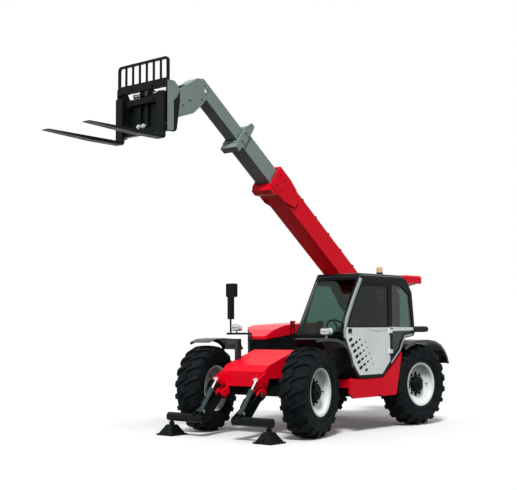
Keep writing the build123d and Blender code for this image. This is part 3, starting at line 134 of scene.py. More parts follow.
def enamel(name, colour, edge, roughness, peel=0.12, rounding=5, upper=None, gloss=0.07):
    """Sprayed enamel on steel: even colour that drifts a little, turning to the edge colour along the edges, with a
    faint orange peel. On most coats the edge colour is the coat worn and dulled there; on the roof it is a pale
    painted highlight. The eye sees a clean satin coat, soft highlights on rounded edges and slightly duller rims. With
    upper, a level in metres and a colour, it is masked off there and sprayed with the second colour above."""
    material, tree, shader, place = start_material(name)
    soft = add_node(tree, "ShaderNodeBevel", {"Radius": rounding * MM}, samples=4).outputs["Normal"]
    facing = add_node(tree, "ShaderNodeNewGeometry").outputs["True Normal"]
    turn = add_node(tree, "ShaderNodeVectorMath", {0: soft, 1: facing}, operation="DOT_PRODUCT").outputs["Value"]
    # Mask along the rounded edges where the edge colour lies: worn paint on most coats, a painted highlight on the
    # roof.
    edge_wear_and_highlight = add_node(tree, "ShaderNodeMapRange", {"Value": turn, "From Min": 0.985, "From Max": 0.8,
                                                 "To Max": 0.55}).outputs["Result"]
    paint = blend_of(tree, edge_wear_and_highlight, drift(tree, place, colour, 380, 0.93, 1.05), linear(edge))
    if upper:
        height = add_node(tree, "ShaderNodeSeparateXYZ", {"Vector": place}).outputs["Z"]
        over = add_node(tree, "ShaderNodeMath", {0: height, 1: upper[0]}, operation="GREATER_THAN")
        paint = blend_of(tree, over.outputs["Value"], paint, linear(upper[1]))
    feed(tree, shader, {
        "Base Color": paint, "Roughness": spread_of(tree, place, 300, roughness - 0.04, roughness + 0.07),
        "Normal": relief(tree, noise(tree, place, 9, 1.0), peel, 0.5, soft), "Specular IOR Level": gloss})
    return material


def coat(material, *names):
    """Gives CAD nodes their finish."""
    for name in names:
        for place in frame["nodes"][name].material_slots:
            place.material = material


red_enamel = enamel("red_enamel_on_steel", "#F00824", "#B8081E", 0.33)
coat(red_enamel, "chassis_frame", "tower_cowl")

# ---- Pins, bolts and washers of the frame ----
# The heads of the boom's pivot pin, in their bosses on the tower, are zinc plated steel: pale grey with a slight
# yellow cast, and a little dull. The rings of bolts round them are sprayed red with the frame.
ACROSS = Vector((0, 1, 0))
UP = Vector((0, 0, 1))


def spot(ahead, left, up):
    """A place on the machine, from millimetres ahead of the front axle, left of its middle and above the ground."""
    return Vector((AXLE_X + ahead * MM, left * MM, up * MM))


def bare_metal(name, code, roughness, grain):
    """Plated or polished metal: one even colour whose gloss changes in fine patches.
    The eye sees bright and dark reflections that are slightly broken up."""
    material, tree, shader, place = start_material(name)
    feed(tree, shader, {
        "Base Color": drift(tree, place, code, 60, 0.9, 1.06), "Metallic": 1.0,
        "Roughness": spread_of(tree, place, grain, roughness * 0.75, roughness * 1.3)})
    return material


def add_turned(shape, profile, foot, along, steps=32, reach=None):
    """Adds a turned form: profile is (radius, distance) pairs in mm, from a foot along a direction. The reach of an
    angle, if given, is a factor on the radius there."""
    turn = along.normalized().to_track_quat("Z", "Y").to_matrix()
    rings = []
    for radius, distance in profile:
        ring = []
        for index in range(steps if radius else 1):
            angle = index * 2 * pi / steps
            wide = radius * (reach(angle) if reach else 1) * MM
            ring.append(shape.verts.new(foot + turn @ Vector(
                (wide * cos(angle), wide * sin(angle), distance * MM))))
        rings.append(ring)
    for near, far in zip(rings, rings[1:]):
        for index in range(steps):
            after = index + 1
            corners = (near[index % len(near)], near[after % len(near)], far[after % len(far)], far[index % len(far)])
            shape.faces.new(list(dict.fromkeys(corners)))


def add_object(name, data):
    """Adds a mesh, a lamp or a camera to the scene as an object."""
    made = bpy.data.objects.new(name, data)
    scene.collection.objects.link(made)
    return made


def solid(name, shape, sharp=35):
    """Adds a closed shape to the scene, its faces turned outwards and smooth, but for sharp edges in degrees."""
    bmesh.ops.recalc_face_normals(shape, faces=shape.faces[:])
    mesh = bpy.data.meshes.new(name)
    shape.to_mesh(mesh)
    shape.free()
    mesh.shade_smooth()
    mesh.set_sharp_from_angle(angle=radians(sharp))
    return add_object(name, mesh)


def finish(name, shape, body, material, sharp=35):
    """Merges doubled points of a shape and adds it as a piece that moves with a body."""
    bmesh.ops.remove_doubles(shape, verts=shape.verts[:], dist=0.01 * MM)
    piece = solid(name, shape, sharp)
    piece.data.materials.append(material)
    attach(piece, body)
    return piece


def piece_of(name, body, slot, material, *forms):
    """Adds one piece made of forms: the function that adds each, and what it is given."""
    shape = bmesh.new()
    for add, *given in forms:
        add(shape, *given)
    return finish(name, shape, body, material)


def settle(piece):
    """Makes what a piece's modifiers do a part of its mesh."""
    graph = bpy.context.evaluated_depsgraph_get()
    piece.data = bpy.data.meshes.new_from_object(piece.evaluated_get(graph), depsgraph=graph)
    piece.modifiers.clear()


def repeater():
    """Geometry Nodes tree that sets a sample on each point of a mesh, facing its way and at its share of the size."""
    tree = bpy.data.node_groups.new("set_out", "GeometryNodeTree")
    face = tree.interface
    face.new_socket(name="Geometry", in_out="OUTPUT", socket_type="NodeSocketGeometry")
    kinds = (("Geometry", "NodeSocketGeometry"), ("Sample", "NodeSocketObject"), ("Finish", "NodeSocketMaterial"),
             ("Spin", "NodeSocketFloat"), ("Seed", "NodeSocketInt"))
    sockets = {name: face.new_socket(name=name, in_out="INPUT", socket_type=kind).identifier for name, kind in kinds}
    given = add_node(tree, "NodeGroupInput").outputs
    way, share = (add_node(tree, "GeometryNodeInputNamedAttribute", {"Name": name}, data_type=kind)
                  for name, kind in (("facing", "FLOAT_VECTOR"), ("share", "FLOAT")))
    chance = add_node(tree, "FunctionNodeRandomValue", {"Max": given["Spin"], "Seed": given["Seed"]})
    spin = add_node(tree, "FunctionNodeAxisAngleToRotation", {"Angle": chance.outputs[1]})
    turn = add_node(tree, "FunctionNodeAlignRotationToVector", {"Vector": way.outputs[0]}, axis="Z")
    both = add_node(tree, "FunctionNodeRotateRotation", {"Rotation": turn.outputs[0], "Rotate By": spin.outputs[0]},
                    rotation_space="LOCAL")
    model = add_node(tree, "GeometryNodeObjectInfo", {"Object": given["Sample"]})
    placed = add_node(tree, "GeometryNodeInstanceOnPoints", {
        "Points": given["Geometry"], "Instance": model.outputs["Geometry"], "Rotation": both.outputs[0],
        "Scale": share.outputs[0]})
    real = add_node(tree, "GeometryNodeRealizeInstances", {"Geometry": placed.outputs[0]})
    coated = add_node(tree, "GeometryNodeSetMaterial", {"Geometry": real.outputs[0], "Material": given["Finish"]})
    add_node(tree, "NodeGroupOutput", {"Geometry": coated.outputs[0]})
    return tree, sockets


SET_OUT, SOCKETS = repeater()


def set_out(name, sample, places, body, material, spin=1.0):
    """Repeats a sample shape at places, (point, facing, share of the size) each, as one piece of a body."""
    model = solid("sample", sample())
    mesh = bpy.data.meshes.new(name)
    mesh.from_pydata([point for point, _, _ in places], [], [])
    mesh.attributes.new("facing", "FLOAT_VECTOR", "POINT").data.foreach_set(
        "vector", [value for _, facing, _ in places for value in facing])
    mesh.attributes.new("share", "FLOAT", "POINT").data.foreach_set("value", [share for _, _, share in places])
    piece = add_object(name, mesh)
    layer = piece.modifiers.new("set_out", "NODES")
    layer.node_group = SET_OUT
    for label, value in (("Sample", model), ("Finish", material), ("Spin", spin), ("Seed", 4)):
        layer[SOCKETS[label]] = value
    settle(piece)
    bpy.data.objects.remove(model)
    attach(piece, body)


def hex_bolt(across=24, high=15, washer=22):
    """A hexagon head with its chamfer on a round washer, standing on its seat."""
    shape = bmesh.new()
    add_turned(shape, [(0, -1), (washer, -1), (washer, 3), (0, 3)], Vector(), UP, 20)
    half = across / 2 / cos(pi / 6)
    add_turned(shape, [(0, 2), (half, 2), (half, high - 2), (half - 3, high), (0, high)], Vector(), UP, 6)
    return shape


def ring_of(centre, axis, radius, count, start=0.0, share=1.0):
    """Places round a circle about an axis, all facing along it."""
    turn = axis.normalized().to_track_quat("Z", "Y").to_matrix()
    angles = [start + index * 2 * pi / count for index in range(count)]
    return [(centre + turn @ Vector((radius * MM * cos(a), radius * MM * sin(a), 0)), axis, share)
            for a in angles]


def pin_heads(name, body, pins, steps):
    """Zinc plated heads on both ends of pins that lie across the machine: (middle of the pin, half its length, then
    the head's radius, the height of its rim, its whole height and its bevel) of each, in mm."""
    piece_of(name, body, "dark_metal", zinc, *(
        (add_turned, [(0, 0), (radius, 0), (radius, rim), (radius - bevel, high), (0, high)],
         middle + ACROSS * way * half * MM, ACROSS * way, steps)
        for middle, half, radius, rim, high, bevel in pins for way in (1, -1)))


zinc = bare_metal("zinc_plated_steel", "#B9B7AC", 0.36, 5)
PIVOT = Vector(joints["boom_lift"]["pos_m"])
PIVOT_HALF = 238  # from the boom's middle to the face of each boss
pivot_seats = [(PIVOT + ACROSS * way * PIVOT_HALF * MM, ACROSS * way) for way in (1, -1)]
piece_of("pivot_pin_heads", "chassis", "dark_metal", zinc, *(
    (add_turned, [(0, 0), (44, 0), (44, 16), (38, 22), (12, 22), (8, 30), (0, 30)], *seat) for seat in pivot_seats))
set_out("pivot_bolts", hex_bolt, [bolt for seat in pivot_seats for bolt in ring_of(*seat, 74, 6)],
        "chassis", red_enamel)

# ---- Axles, knuckles and shafts ----
# Cast housings with a coat of black primer enamel, rough from the sand mould. The covers of the differential and
# of the hub reduction are held by rings of bolts.
cast_black = enamel("black_enamel_on_castings", "#0E1214", "#23282A", 0.5, peel=0.5)
coat(cast_black, "front_axle", "rear_axle", "drive_shafts")
WHEEL_UP = 625  # from the ground to the wheels' centres
COVER_RING = (150, 12)  # radius, number of bolts
for end, middle in (("front", 0), ("rear", 120)):  # and how far left the differential lies
    low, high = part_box(f"{end}_axle")
    heart = Vector(((low.x + high.x) / 2, middle * MM, WHEEL_UP * MM))
    cover = [bolt for way in (1, -1) for bolt in ring_of(heart + ACROSS * way * 61 * MM, ACROSS * way, *COVER_RING)]
    set_out(f"{end}_axle_cover_bolts", lambda: hex_bolt(16, 12, 12), cover, "chassis", zinc)
    coat(cast_black, *(f"knuckle_{end}_{hand}" for hand in SIDES))

# ---- Wheels ----
# Pressed steel rims with a pale silver enamel, black cast planet carriers with eight lobes, and wheel nuts round
# them. The tyres are moulded rubber, near black and dusty, with fine raised rings on their sidewalls.
silver_enamel = enamel("silver_enamel_on_rims", "#E4E8E7", "#B5BBBC", 0.34)
HUB_OUT = 282  # from the kingpin to the flat of the disc round the hub
HUB_LOBES = 8
NUT_COUNT = 10
TYRE_MIDDLE = 240  # from the kingpin to the middle of the tyre
SIDEWALL_RINGS = ((392, 183), (408, 186), (470, 189.5), (482, 189))  # radius, distance from the tyre's middle


def rubber(name, code, dusty):
    """Moulded rubber: near black and matt, with dust that lies in patches, and the fine grain of the mould."""
    material, tree, shader, place = start_material(name)
    feed(tree, shader, {
        "Base Color": blend_of(tree, spread_of(tree, place, 90, -0.3, 0.6, 6.0), linear(code), linear(dusty)),
        "Normal": relief(tree, noise(tree, place, 4, 3.0), 0.25, 0.6), "Roughness": 0.72, "Specular IOR Level": 0.1})
    return material


def add_pipe(shape, points, radius, steps=8, closed=False):
    """Adds a round bar, bead or pipe along a path, with its ends closed."""
    rings, side, count = [], None, len(points)
    for index, point in enumerate(points):
        before = points[index - 1] if index or closed else point
        after = points[(index + 1) % count] if index < count - 1 or closed else point
        ahead = (after - before).normalized()
        side = side or ahead.orthogonal()
        side = (side - ahead * side.dot(ahead)).normalized()
        over = ahead.cross(side)
        rings.append([shape.verts.new(point + (side * cos(a) + over * sin(a)) * radius * MM)
                      for a in (step * 2 * pi / steps for step in range(steps))])
    for near, far in zip(rings, rings[1:] + (rings[:1] if closed else [])):
        for step in range(steps):
            after = (step + 1) % steps
            shape.faces.new((near[step], near[after], far[after], far[step]))
    if not closed:
        shape.faces.new(rings[0])
        shape.faces.new(rings[-1])


def lobed(angle):
    """Outline of the planet carrier: eight rounded lobes."""
    return 1 + 0.22 * max(0.0, cos(HUB_LOBES * angle)) ** 0.8


tyre_rubber = rubber("moulded_tyre_rubber", "#0C1113", "#20272A")
for corner, side in [(f"{end}_{hand}", side) for end in ("front", "rear") for hand, side in SIDES.items()]:
    wheel = f"wheel_{corner}"
    coat(silver_enamel, f"rim_{corner}")
    coat(tyre_rubber, f"tyre_{corner}")
    outward = Vector(joints[f"roll_{corner}"]["axis"]) * side
    kingpin = Vector(joints[f"roll_{corner}"]["pos_m"])
    face = kingpin + outward * HUB_OUT * MM
    piece_of(f"planet_carrier_{corner}", wheel, "cast_metal", cast_black,
             (add_turned, [(0, 1), (122, 1), (122, 34), (116, 40), (0, 40)], face, outward, 96, lobed),
             (add_turned, [(0, 38), (112, 38), (112, 66), (104, 74), (92, 84), (58, 86), (52, 106), (44, 110),
                           (0, 110)], face, outward, 48))
    bolts = ring_of(face + outward * 40 * MM, outward, 130, HUB_LOBES, 0.0, 0.75)
    bolts += ring_of(face + outward * 84 * MM, outward, 74, HUB_LOBES, 0.2, 0.55)
    set_out(f"carrier_bolts_{corner}", hex_bolt, bolts, wheel, cast_black)
    nuts = ring_of(face + outward * 5 * MM, outward, 172, NUT_COUNT, 0.3, 1.15)
    set_out(f"wheel_nuts_{corner}", hex_bolt, nuts, wheel, cast_black)
    piece_of(f"sidewall_rings_{corner}", wheel, "tyre_rubber", tyre_rubber, *(
        (add_pipe, [point for point, _, _ in ring_of(
            kingpin + outward * (TYRE_MIDDLE + wall * half) * MM, outward, radius, 96)], 3, 6, True)
        for radius, half in SIDEWALL_RINGS for wall in (1, -1)))
    stem = ring_of(face + outward * 24 * MM, outward, 240, 1)[0][0]
    piece_of(f"valve_{corner}", wheel, "black_plastic", tyre_rubber,
             (add_turned, [(0, -10), (8, -10), (8, 14), (5, 18), (5, 34), (0, 36)], stem, outward, 12))

# ---- Stabilisers ----
# Black enamelled legs and pyramid pads, grey green barrels with hard chromed rods, and zinc plated pins at each
# joint. A cast pipe joins the two ports of each cylinder, and four stiffening ribs are welded on each pad.
black_enamel = enamel("black_enamel_on_steel", "#0A0F11", "#1E2426", 0.34, gloss=0.1)
barrel_enamel = enamel("dark_green_grey_enamel_on_barrels", "#3C4B4B", "#5A6868", 0.34)
chrome = bare_metal("hard_chromed_steel", "#DADDDD", 0.14, 30)


def add_lofted(shape, loops):
    """Adds a closed form through loops with the same number of points, with flat ends."""
    rings = [[shape.verts.new(point) for point in loop] for loop in loops]
    shape.faces.new(rings[0])
    shape.faces.new(rings[-1][::-1])
    for near, far in zip(rings, rings[1:]):
        for index in range(len(near)):
            after = (index + 1) % len(near)
            shape.faces.new((near[index], far[index], far[after], near[after]))


def add_plate(shape, outline, low, high):
    """Adds a plate with a side outline of (ahead, up) points between two distances to the left, in mm."""
    add_lofted(shape, [[spot(x, left, z) for x, z in outline] for left in (low, high)])


PIN_HALF = 56.5  # half the length of a pin in the legs
PAD_PLACE = (800, 900)  # ahead, left of a foot pad
PAD_RIB = ((52, 146), (148, 26), (148, 22), (40, 22), (40, 146))  # out from the pad's middle, up
for hand, side in SIDES.items():
    coat(black_enamel, f"stabiliser_leg_{hand}", f"stabiliser_pad_{hand}")
    coat(barrel_enamel, f"stabiliser_barrel_{hand}")
    coat(chrome, f"stabiliser_rod_{hand}")
    leg_pin, foot_pin = (Vector(joints[f"stabiliser_{hand}_{part}"]["pos_m"]) for part in ("swing", "barrel_swing"))
    pin_heads(f"leg_pin_heads_{hand}", f"stabiliser_leg_{hand}", [(leg_pin, PIN_HALF, 34, 9, 12, 6)], 24)
    pin_heads(f"cylinder_pin_heads_{hand}", f"stabiliser_leg_{hand}", [(foot_pin, PIN_HALF, 22, 7, 10, 5)], 20)
    along = Vector(joints[f"stabiliser_{hand}_rod_slide"]["axis"]).normalized()
    over = along.cross(ACROSS).normalized()
    over = over if over.x > 0 else -over
    piece_of(f"cylinder_port_{hand}", f"stabiliser_barrel_{hand}", "dark_metal", cast_black,
             *((add_turned, [(0, 0), (12, 0), (12, 12), (9, 13), (9, 26), (0, 27)],
                foot_pin + (along * reach + over * 33) * MM, over, 12) for reach in (60, 190)),
             (add_pipe, [foot_pin + (along * reach + over * out) * MM
                         for reach, out in ((60, 52), (85, 58), (165, 58), (190, 52))], 7))
    pad = spot(PAD_PLACE[0], side * PAD_PLACE[1], 0)
    turns = [Matrix.Rotation(step * pi / 2, 3, "Z") for step in range(4)]
    piece_of(f"pad_ribs_{hand}", f"stabiliser_pad_{hand}", "black_paint", black_enamel, *(
        (add_lofted, [[pad + turn @ Vector((x, y, z)) * MM for y, z in PAD_RIB] for x in (-6, 6)])
        for turn in turns))

# ---- Mudguards, tank and lower covers ----
# Rotationally moulded black plastic with a fine leather grain. The tank is dull, the mudguards are smoother and
# shine a little more, and the tank's knurled cap screws into its neck.


def moulded_plastic(name, code, grain, roughness=0.5, rounding=4, gloss=0.1):
    """Moulded plastic with a fine leather grain: a soft dull gloss over even colour."""
    material, tree, shader, place = start_material(name)
    cells = add_node(tree, "ShaderNodeTexVoronoi", {"Vector": place, "Scale": 1 / (grain * MM)}).outputs["Distance"]
    soft = add_node(tree, "ShaderNodeBevel", {"Radius": rounding * MM}, samples=4).outputs["Normal"]
    feed(tree, shader, {
        "Base Color": drift(tree, place, code, 200, 0.88, 1.12), "Normal": relief(tree, cells, 0.2, 0.4, soft),
        "Roughness": spread_of(tree, place, 150, roughness - 0.05, roughness + 0.08), "Specular IOR Level": gloss})
    return material


black_plastic = moulded_plastic("black_moulded_plastic", "#0F1416", 5)
coat(moulded_plastic("black_mudguard_plastic", "#1C2528", 5, 0.34, 14, 0.38), "front_fenders", "rear_fenders")
coat(black_plastic, "fuel_tank")
tank_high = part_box("fuel_tank")[1]
piece_of("fuel_cap", "chassis", "black_plastic", black_plastic, (
    add_turned, [(0, 0), (42, 0), (42, 18), (36, 24), (14, 24), (14, 30), (0, 30)],
    tank_high - Vector((0.12, 0.002, 0.07)), ACROSS, 24, lambda angle: 1 + 0.03 * cos(12 * angle)))

# ---- Engine, its bay and its hood ----
# Cast iron engine under a hood of glass fibre with red gel coat. The bay's panels are black, with bent louvres
# behind the slots, a grille on the slanted front corner and a rubber latch that holds the hood down.
coat(enamel("grey_enamel_on_cast_iron", "#3B3F40", "#55595A", 0.55, peel=0.6), "engine_block")
coat(black_plastic, "engine_panels")
coat(enamel("red_gel_coat_on_hood", "#F40A28", "#D00A24", 0.24, peel=0.05, rounding=28, gloss=0.16), "engine_hood")
BAY_SIDE = -1090
CORNER_RUN = Vector((-1, -1, 0)).normalized()  # along the slanted corner, backwards
CORNER_OUT = Vector((1, -1, 0)).normalized()
piece_of("corner_grille", "chassis", "black_plastic", black_plastic, *(
    (add_lofted, [[spot(-875, -905, level) + (CORNER_RUN * run + CORNER_OUT * out + UP * rise) * MM
                   for out, rise in ((-2, 0), (7, -3), (7, 1), (-2, 5))] for run in (-170, 170)])
    for level in range(1150, 1312, 18)))
piece_of("side_louvres", "chassis", "dark_metal", cast_black, *(
    (add_plate, [(-1650, level), (-1190, level), (-1190, level + 3), (-1650, level + 3)], -1076, -1062)
    for level in range(908, 1188, 20)))
piece_of("hood_latch", "hood", "black_plastic", tyre_rubber,
         (add_plate, [(-1330, 1372), (-1280, 1372), (-1276, 1470), (-1334, 1470)], BAY_SIDE - 8, BAY_SIDE),
         (add_turned, [(0, 0), (16, 0), (16, 12), (12, 15), (0, 15)], spot(-1305, BAY_SIDE - 6, 1450), -ACROSS, 16))

# ---- Cab frame, roof and trim ----
# Folded steel posts and a moulded roof, enamelled black, with a highlight painted in pale grey along the roof's edges.
# Strips in pale grey enamel run down the front post and round the lower rear corner, and two thin beads close the
# roof's joint.
coat(enamel("black_enamel_on_cab_posts", "#0B1113", "#1A2123", 0.26, peel=0.08, rounding=10), "cab_frame")
# The roof's pale edge colour is a painted highlight along its edges, not wear.
coat(enamel("black_enamel_on_roof_painted_edge_highlight", "#0B1113", "#93A0A0", 0.26, peel=0.08, rounding=16), "cab_roof")
CAB_SIDE = 1100  # from the machine's middle to the outside of the cab
BELT = 1510
REAR = -2690  # the rear axle
trim_paint = enamel("pale_grey_enamel_on_trim", "#AEB9BA", "#8A9596", 0.36)


def add_strip(shape, path, width, low, high):
    """Adds a flat bar whose middle follows a side path of (ahead, up) points, between two distances to the left."""
    loops = []
    for index, (x, z) in enumerate(path):
        before, after = path[max(index - 1, 0)], path[min(index + 1, len(path) - 1)]
        run = Vector((after[0] - before[0], after[1] - before[1])).normalized() * width / 2
        loops.append([spot(x - run.y * way, left, z + run.x * way)
                      for way, left in ((1, low), (1, high), (-1, high), (-1, low))])
    add_lofted(shape, loops)


for name, path, width, inner, outer in (
        ("front_gutter", [(-628, 1360), (-625, 1440), (-708, 1650), (-863, 1925), (-1013, 2150), (-1052, 2215)],
         40, -18, 5),
        ("rear_corner_strip", [(REAR + 300, 1395), (REAR + 505, 1372), (REAR + 640, 1168), (REAR + 890, 975)],
         30, -14, 4)):
    piece_of(name, "chassis", "grey_paint", trim_paint,
             (add_strip, path, width, CAB_SIDE + inner, CAB_SIDE + outer))
piece_of("roof_joint", "chassis", "grey_paint", trim_paint, *(
    (add_pipe, [spot(ahead, CAB_SIDE - inward, level) for ahead in (-1075, REAR + 560)], 3.5, 6)
    for inward, level in ((6, 2262), (20, 2290))))

# ---- Cab glass and its seals ----
# Toughened glass with a green grey tint, bonded in black rubber seals. The door's glass is tinted darker. A white
# enamelled steel panel closes the rear quarter at the height of the belt.


def tinted_glass(name, code, glare):
    """Toughened glass with a tint and a very slight waviness: clear sharp reflections over a darker view. Glare is
    the colour that its coated face leaves in a reflection seen straight on."""
    material, tree, shader, place = start_material(name)
    feed(tree, shader, {
        "Base Color": drift(tree, place, code, 500, 0.96, 1.04), "Roughness": 0.02,
        "Normal": relief(tree, noise(tree, place, 300, 2.0), 0.03, 1), "IOR": 1.5, "Transmission Weight": 1.0,
        "Specular Tint": linear(glare)})
    return material


coat(tinted_glass("green_tinted_glass", "#7A988C", "#90A09A"), "windscreen", "fixed_glass")
coat(tinted_glass("dark_tinted_glass", "#2B3A36", "#0C1211"), "door_window")
seal_rubber = rubber("extruded_seal_rubber", "#0B0D0E", "#15181A")


def seal_round(shape, outline, left, radius):
    """Adds a rubber seal that runs round a side outline."""
    add_pipe(shape, [spot(x, left, z) for x, z in outline], radius, 8, True)


REAR_EDGE = [(REAR + 600, 2140), (REAR + 360, 1990), (REAR + 290, 1560), (REAR + 290, 1425)]
piece_of("window_seals", "chassis", "black_plastic", seal_rubber,
         (seal_round, [(-1840, 1070), (-1840, 2140), *REAR_EDGE, (REAR + 520, 1400), (REAR + 660, 1200)],
          CAB_SIDE - 7, 9),
         (seal_round, [(-800, 1400), (-850, 1640), (-980, 1930), (-1100, 2140), *REAR_EDGE], 228, 9))
panel_white = enamel("white_enamel_on_panels", "#EEF4F3", "#C4CCCB", 0.3)
piece_of("quarter_belt_panel", "chassis", "white_paint", panel_white, (
    add_plate, [(-1794, BELT - 62), (-1794, BELT + 2), (REAR + 262, BELT - 8), (REAR + 262, BELT - 50)],
    CAB_SIDE - 13, CAB_SIDE + 3))

# ---- Door ----
# Steel skin sprayed white below the belt, with its window frame masked off in black. It carries cut vinyl film
# along its front edge, two fine grey lines under the belt, a black paddle handle in its recess and a rubber seal.
coat(enamel("white_and_black_enamel_on_door", "#EEF4F3", "#C4CCCB", 0.3, upper=(BELT * MM, "#0D1315")),
     "door_panel")
vinyl = moulded_plastic("dark_vinyl_film", "#14191B", 7, 0.45, 1)
piece_of("door_window_seal", "door", "black_plastic", seal_rubber, (
    seal_round, [(-1746, BELT), (-735, BELT), (-772, 1663), (-925, 1944), (-1060, 2116), (-1735, 2116),
                 (-1746, 2090)], CAB_SIDE - 5, 7))


def film_chip():
    """A film motif 1 mm thick: a leaning bar with rounded ends, 92 mm long and 64 mm high, lying across Z."""
    shape = bmesh.new()
    ends = [(side * 19 + 26 * cos(angle), side * 8 + 26 * sin(angle))
            for side, first in ((1, -pi / 2), (-1, pi / 2))
            for angle in (first + step * pi / 6 for step in range(7))]
    add_lofted(shape, [[Vector((x, y, depth)) * MM for x, y in ends] for depth in (0, 1)])
    return shape


chips = []
for column in range(4):
    for row in range(6 - column // 2):
        up = 1335 - 80 * row - 40 * (column % 2)
        ahead = -755 - 112 * column - 0.62 * (1360 - up)
        chips.append((spot(ahead, CAB_SIDE, up), ACROSS, 0.94 - 0.2 * column))
set_out("door_film", film_chip, chips, "door", vinyl, 0.0)
piece_of("door_lines", "door", "grey_paint", trim_paint, *(
    (add_strip, [(-1700 + run, BELT - drop - 13.2 * sin(run / length * pi))
                 for run in range(0, length - 39, 40)], 5, CAB_SIDE - 0.5, CAB_SIDE + 0.9)
    for drop, length in ((34, 560), (52, 430))))
piece_of("door_handle", "door", "black_plastic", black_plastic,
         (add_plate, [(-790, BELT - 78), (-708, BELT - 78), (-722, BELT - 18), (-800, BELT - 18)],
          CAB_SIDE - 2, CAB_SIDE + 6),
         (add_pipe, [spot(ahead, CAB_SIDE + out, BELT - 48)
                     for ahead, out in ((-780, 4), (-772, 22), (-732, 22), (-724, 4))], 7),
         (add_turned, [(0, 0), (9, 0), (9, 4), (5, 6), (0, 6)], spot(-752, CAB_SIDE + 5, BELT - 68), ACROSS, 16))

# ---- Dashboard, steering wheel and levers ----
# Moulded console and a soft grained wheel with a spinner knob. A round dial with plain ticks and a lever on each
# side of the column are fixed on the console.
soft_grip = moulded_plastic("soft_grip_polyurethane", "#101314", 4, 0.6)
coat(black_plastic, "dashboard")
coat(soft_grip, "steering_wheel")
wheel_heart = sum(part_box("steering_wheel"), Vector()) / 2
column = Vector((-1, 0, 1)).normalized()
over_column = Vector((1, 0, 1)).normalized()
knob = wheel_heart + (over_column * 120 + ACROSS * 130 + column * 10) * MM
levers = [(add_turned, [(0, 0), (13, 0), (15, 20), (24, 34), (26, 48), (18, 60), (0, 63)], knob, column, 20)]
for side in (1, -1):
    foot = wheel_heart - column * 0.07 + ACROSS * side * 0.02
    tip = foot + ACROSS * side * 0.14 + column * 0.01
    levers += [(add_pipe, [foot, tip], 6),
               (add_turned, [(0, -4), (10, -2), (12, 12), (12, 30), (8, 38), (0, 40)], tip, ACROSS * side, 16)]
piece_of("column_levers", "chassis", "black_plastic", soft_grip, *levers)
dial_foot = spot(-800, 660, 1396)
dial_axis = Vector((-0.3, 0, 1)).normalized()
piece_of("dial_housing", "chassis", "black_plastic", black_plastic, (
    add_turned, [(0, -6), (58, -6), (58, 12), (52, 16), (48, 12), (0, 12)], dial_foot, dial_axis))
near, far = (ring_of(dial_foot + dial_axis * 12.5 * MM, dial_axis, radius, 15, radians(-30))[:11]
             for radius in (38, 46))
piece_of("dial_ticks", "chassis", "white_paint", panel_white, *(
    (add_pipe, [inner, outer], 1.2, 6) for (inner, _, _), (outer, _, _) in zip(near, far)))

# ---- Seat ----
# Moulded foam under woven black cloth, on a pressed steel suspension box with a rubber bellows. The pads are
# crowned, drawn in at their edges, and have three sewn channels across.
coat(black_enamel, "seat_base")
PAD_VOXEL = 6
SIMULATED = 20  # frames in which a pad fills out
WAVE_SHARE = 6.3  # a wave pattern's scale divided by this draws each band twice as wide as the pitch given


def woven_cloth(name, code, thread):
    """Woven polyester: crossing threads, a soft sheen and no gloss. The threads are drawn twice as coarse as the
    real ones so that they show."""
    material, tree, shader, place = start_material(name)
    threads = [add_node(tree, "ShaderNodeTexWave", {
        "Vector": place, "Scale": 1 / (thread * MM) / WAVE_SHARE, "Distortion": 0.6},
        bands_direction=way).outputs["Fac"] for way in ("X", "Y")]
    weave = add_node(tree, "ShaderNodeMath", {0: threads[0], 1: threads[1]}, operation="MAXIMUM").outputs["Value"]
    feed(tree, shader, {
        "Base Color": drift(tree, place, code, 120, 0.85, 1.15), "Normal": relief(tree, weave, 0.35, 0.8),
        "Roughness": 0.9, "Sheen Weight": 0.3, "Sheen Roughness": 0.5})
    return material


seat_cloth = woven_cloth("woven_seat_cloth", "#23282B", 3)


def stuffed_pad(name, node, along, through):
    """A sewn pad: the plain solid drawn in, remeshed, blown up as cloth to a largest swelling, then channelled
    at quarters of its length. Along and through are the axes of its length and its thickness."""
    inset, swell, groove_half, groove_depth = 14 * MM, 22 * MM, 6 * MM, 0.12
    shape = bmesh.new()
    shape.from_mesh(frame["nodes"][node].data)
    bmesh.ops.remove_doubles(shape, verts=shape.verts[:], dist=0.1 * MM)
    low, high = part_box(node)
    middle, size = (low + high) / 2, high - low
    for vert in shape.verts:
        away = vert.co - middle
        vert.co = middle + Vector([away[axis] * (1 - 2 * inset / size[axis]) for axis in range(3)])
    mesh = bpy.data.meshes.new(name)
    shape.to_mesh(mesh)
    shape.free()
    pad = add_object(name, mesh)
    layer = pad.modifiers.new("remesh", "REMESH")
    layer.mode = "VOXEL"
    layer.voxel_size = PAD_VOXEL * MM * 1
    settle(pad)
    start = [vert.co.copy() for vert in pad.data.vertices]
    cloth = pad.modifiers.new("cloth", "CLOTH").settings
    cloth.use_pressure = True
    cloth.uniform_pressure_force = 4
    cloth.effector_weights.gravity = 0
    for tick in range(1, SIMULATED + 1):
        scene.frame_set(tick)
    settle(pad)
    scene.frame_set(1)
    for vert, at in zip(pad.data.vertices, start):
        moved = vert.co - at
        if moved.length > swell:
            vert.co = at + moved * (swell / moved.length)
    for vert in pad.data.vertices:
        share = (vert.co[along] - low[along]) / size[along]
        groove = sum(exp(-((share - at) * size[along] / groove_half) ** 2) for at in (0.25, 0.5, 0.75))
        vert.co[through] += (middle[through] - vert.co[through]) * groove_depth * groove
    layer = pad.modifiers.new("rounded", "SUBSURF")
    layer.levels = layer.render_levels = 1
    settle(pad)
    pad.data.materials.clear()
    pad.data.materials.append(seat_cloth)
    pad.data.shade_smooth()
    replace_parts(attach(pad, "chassis"), node)


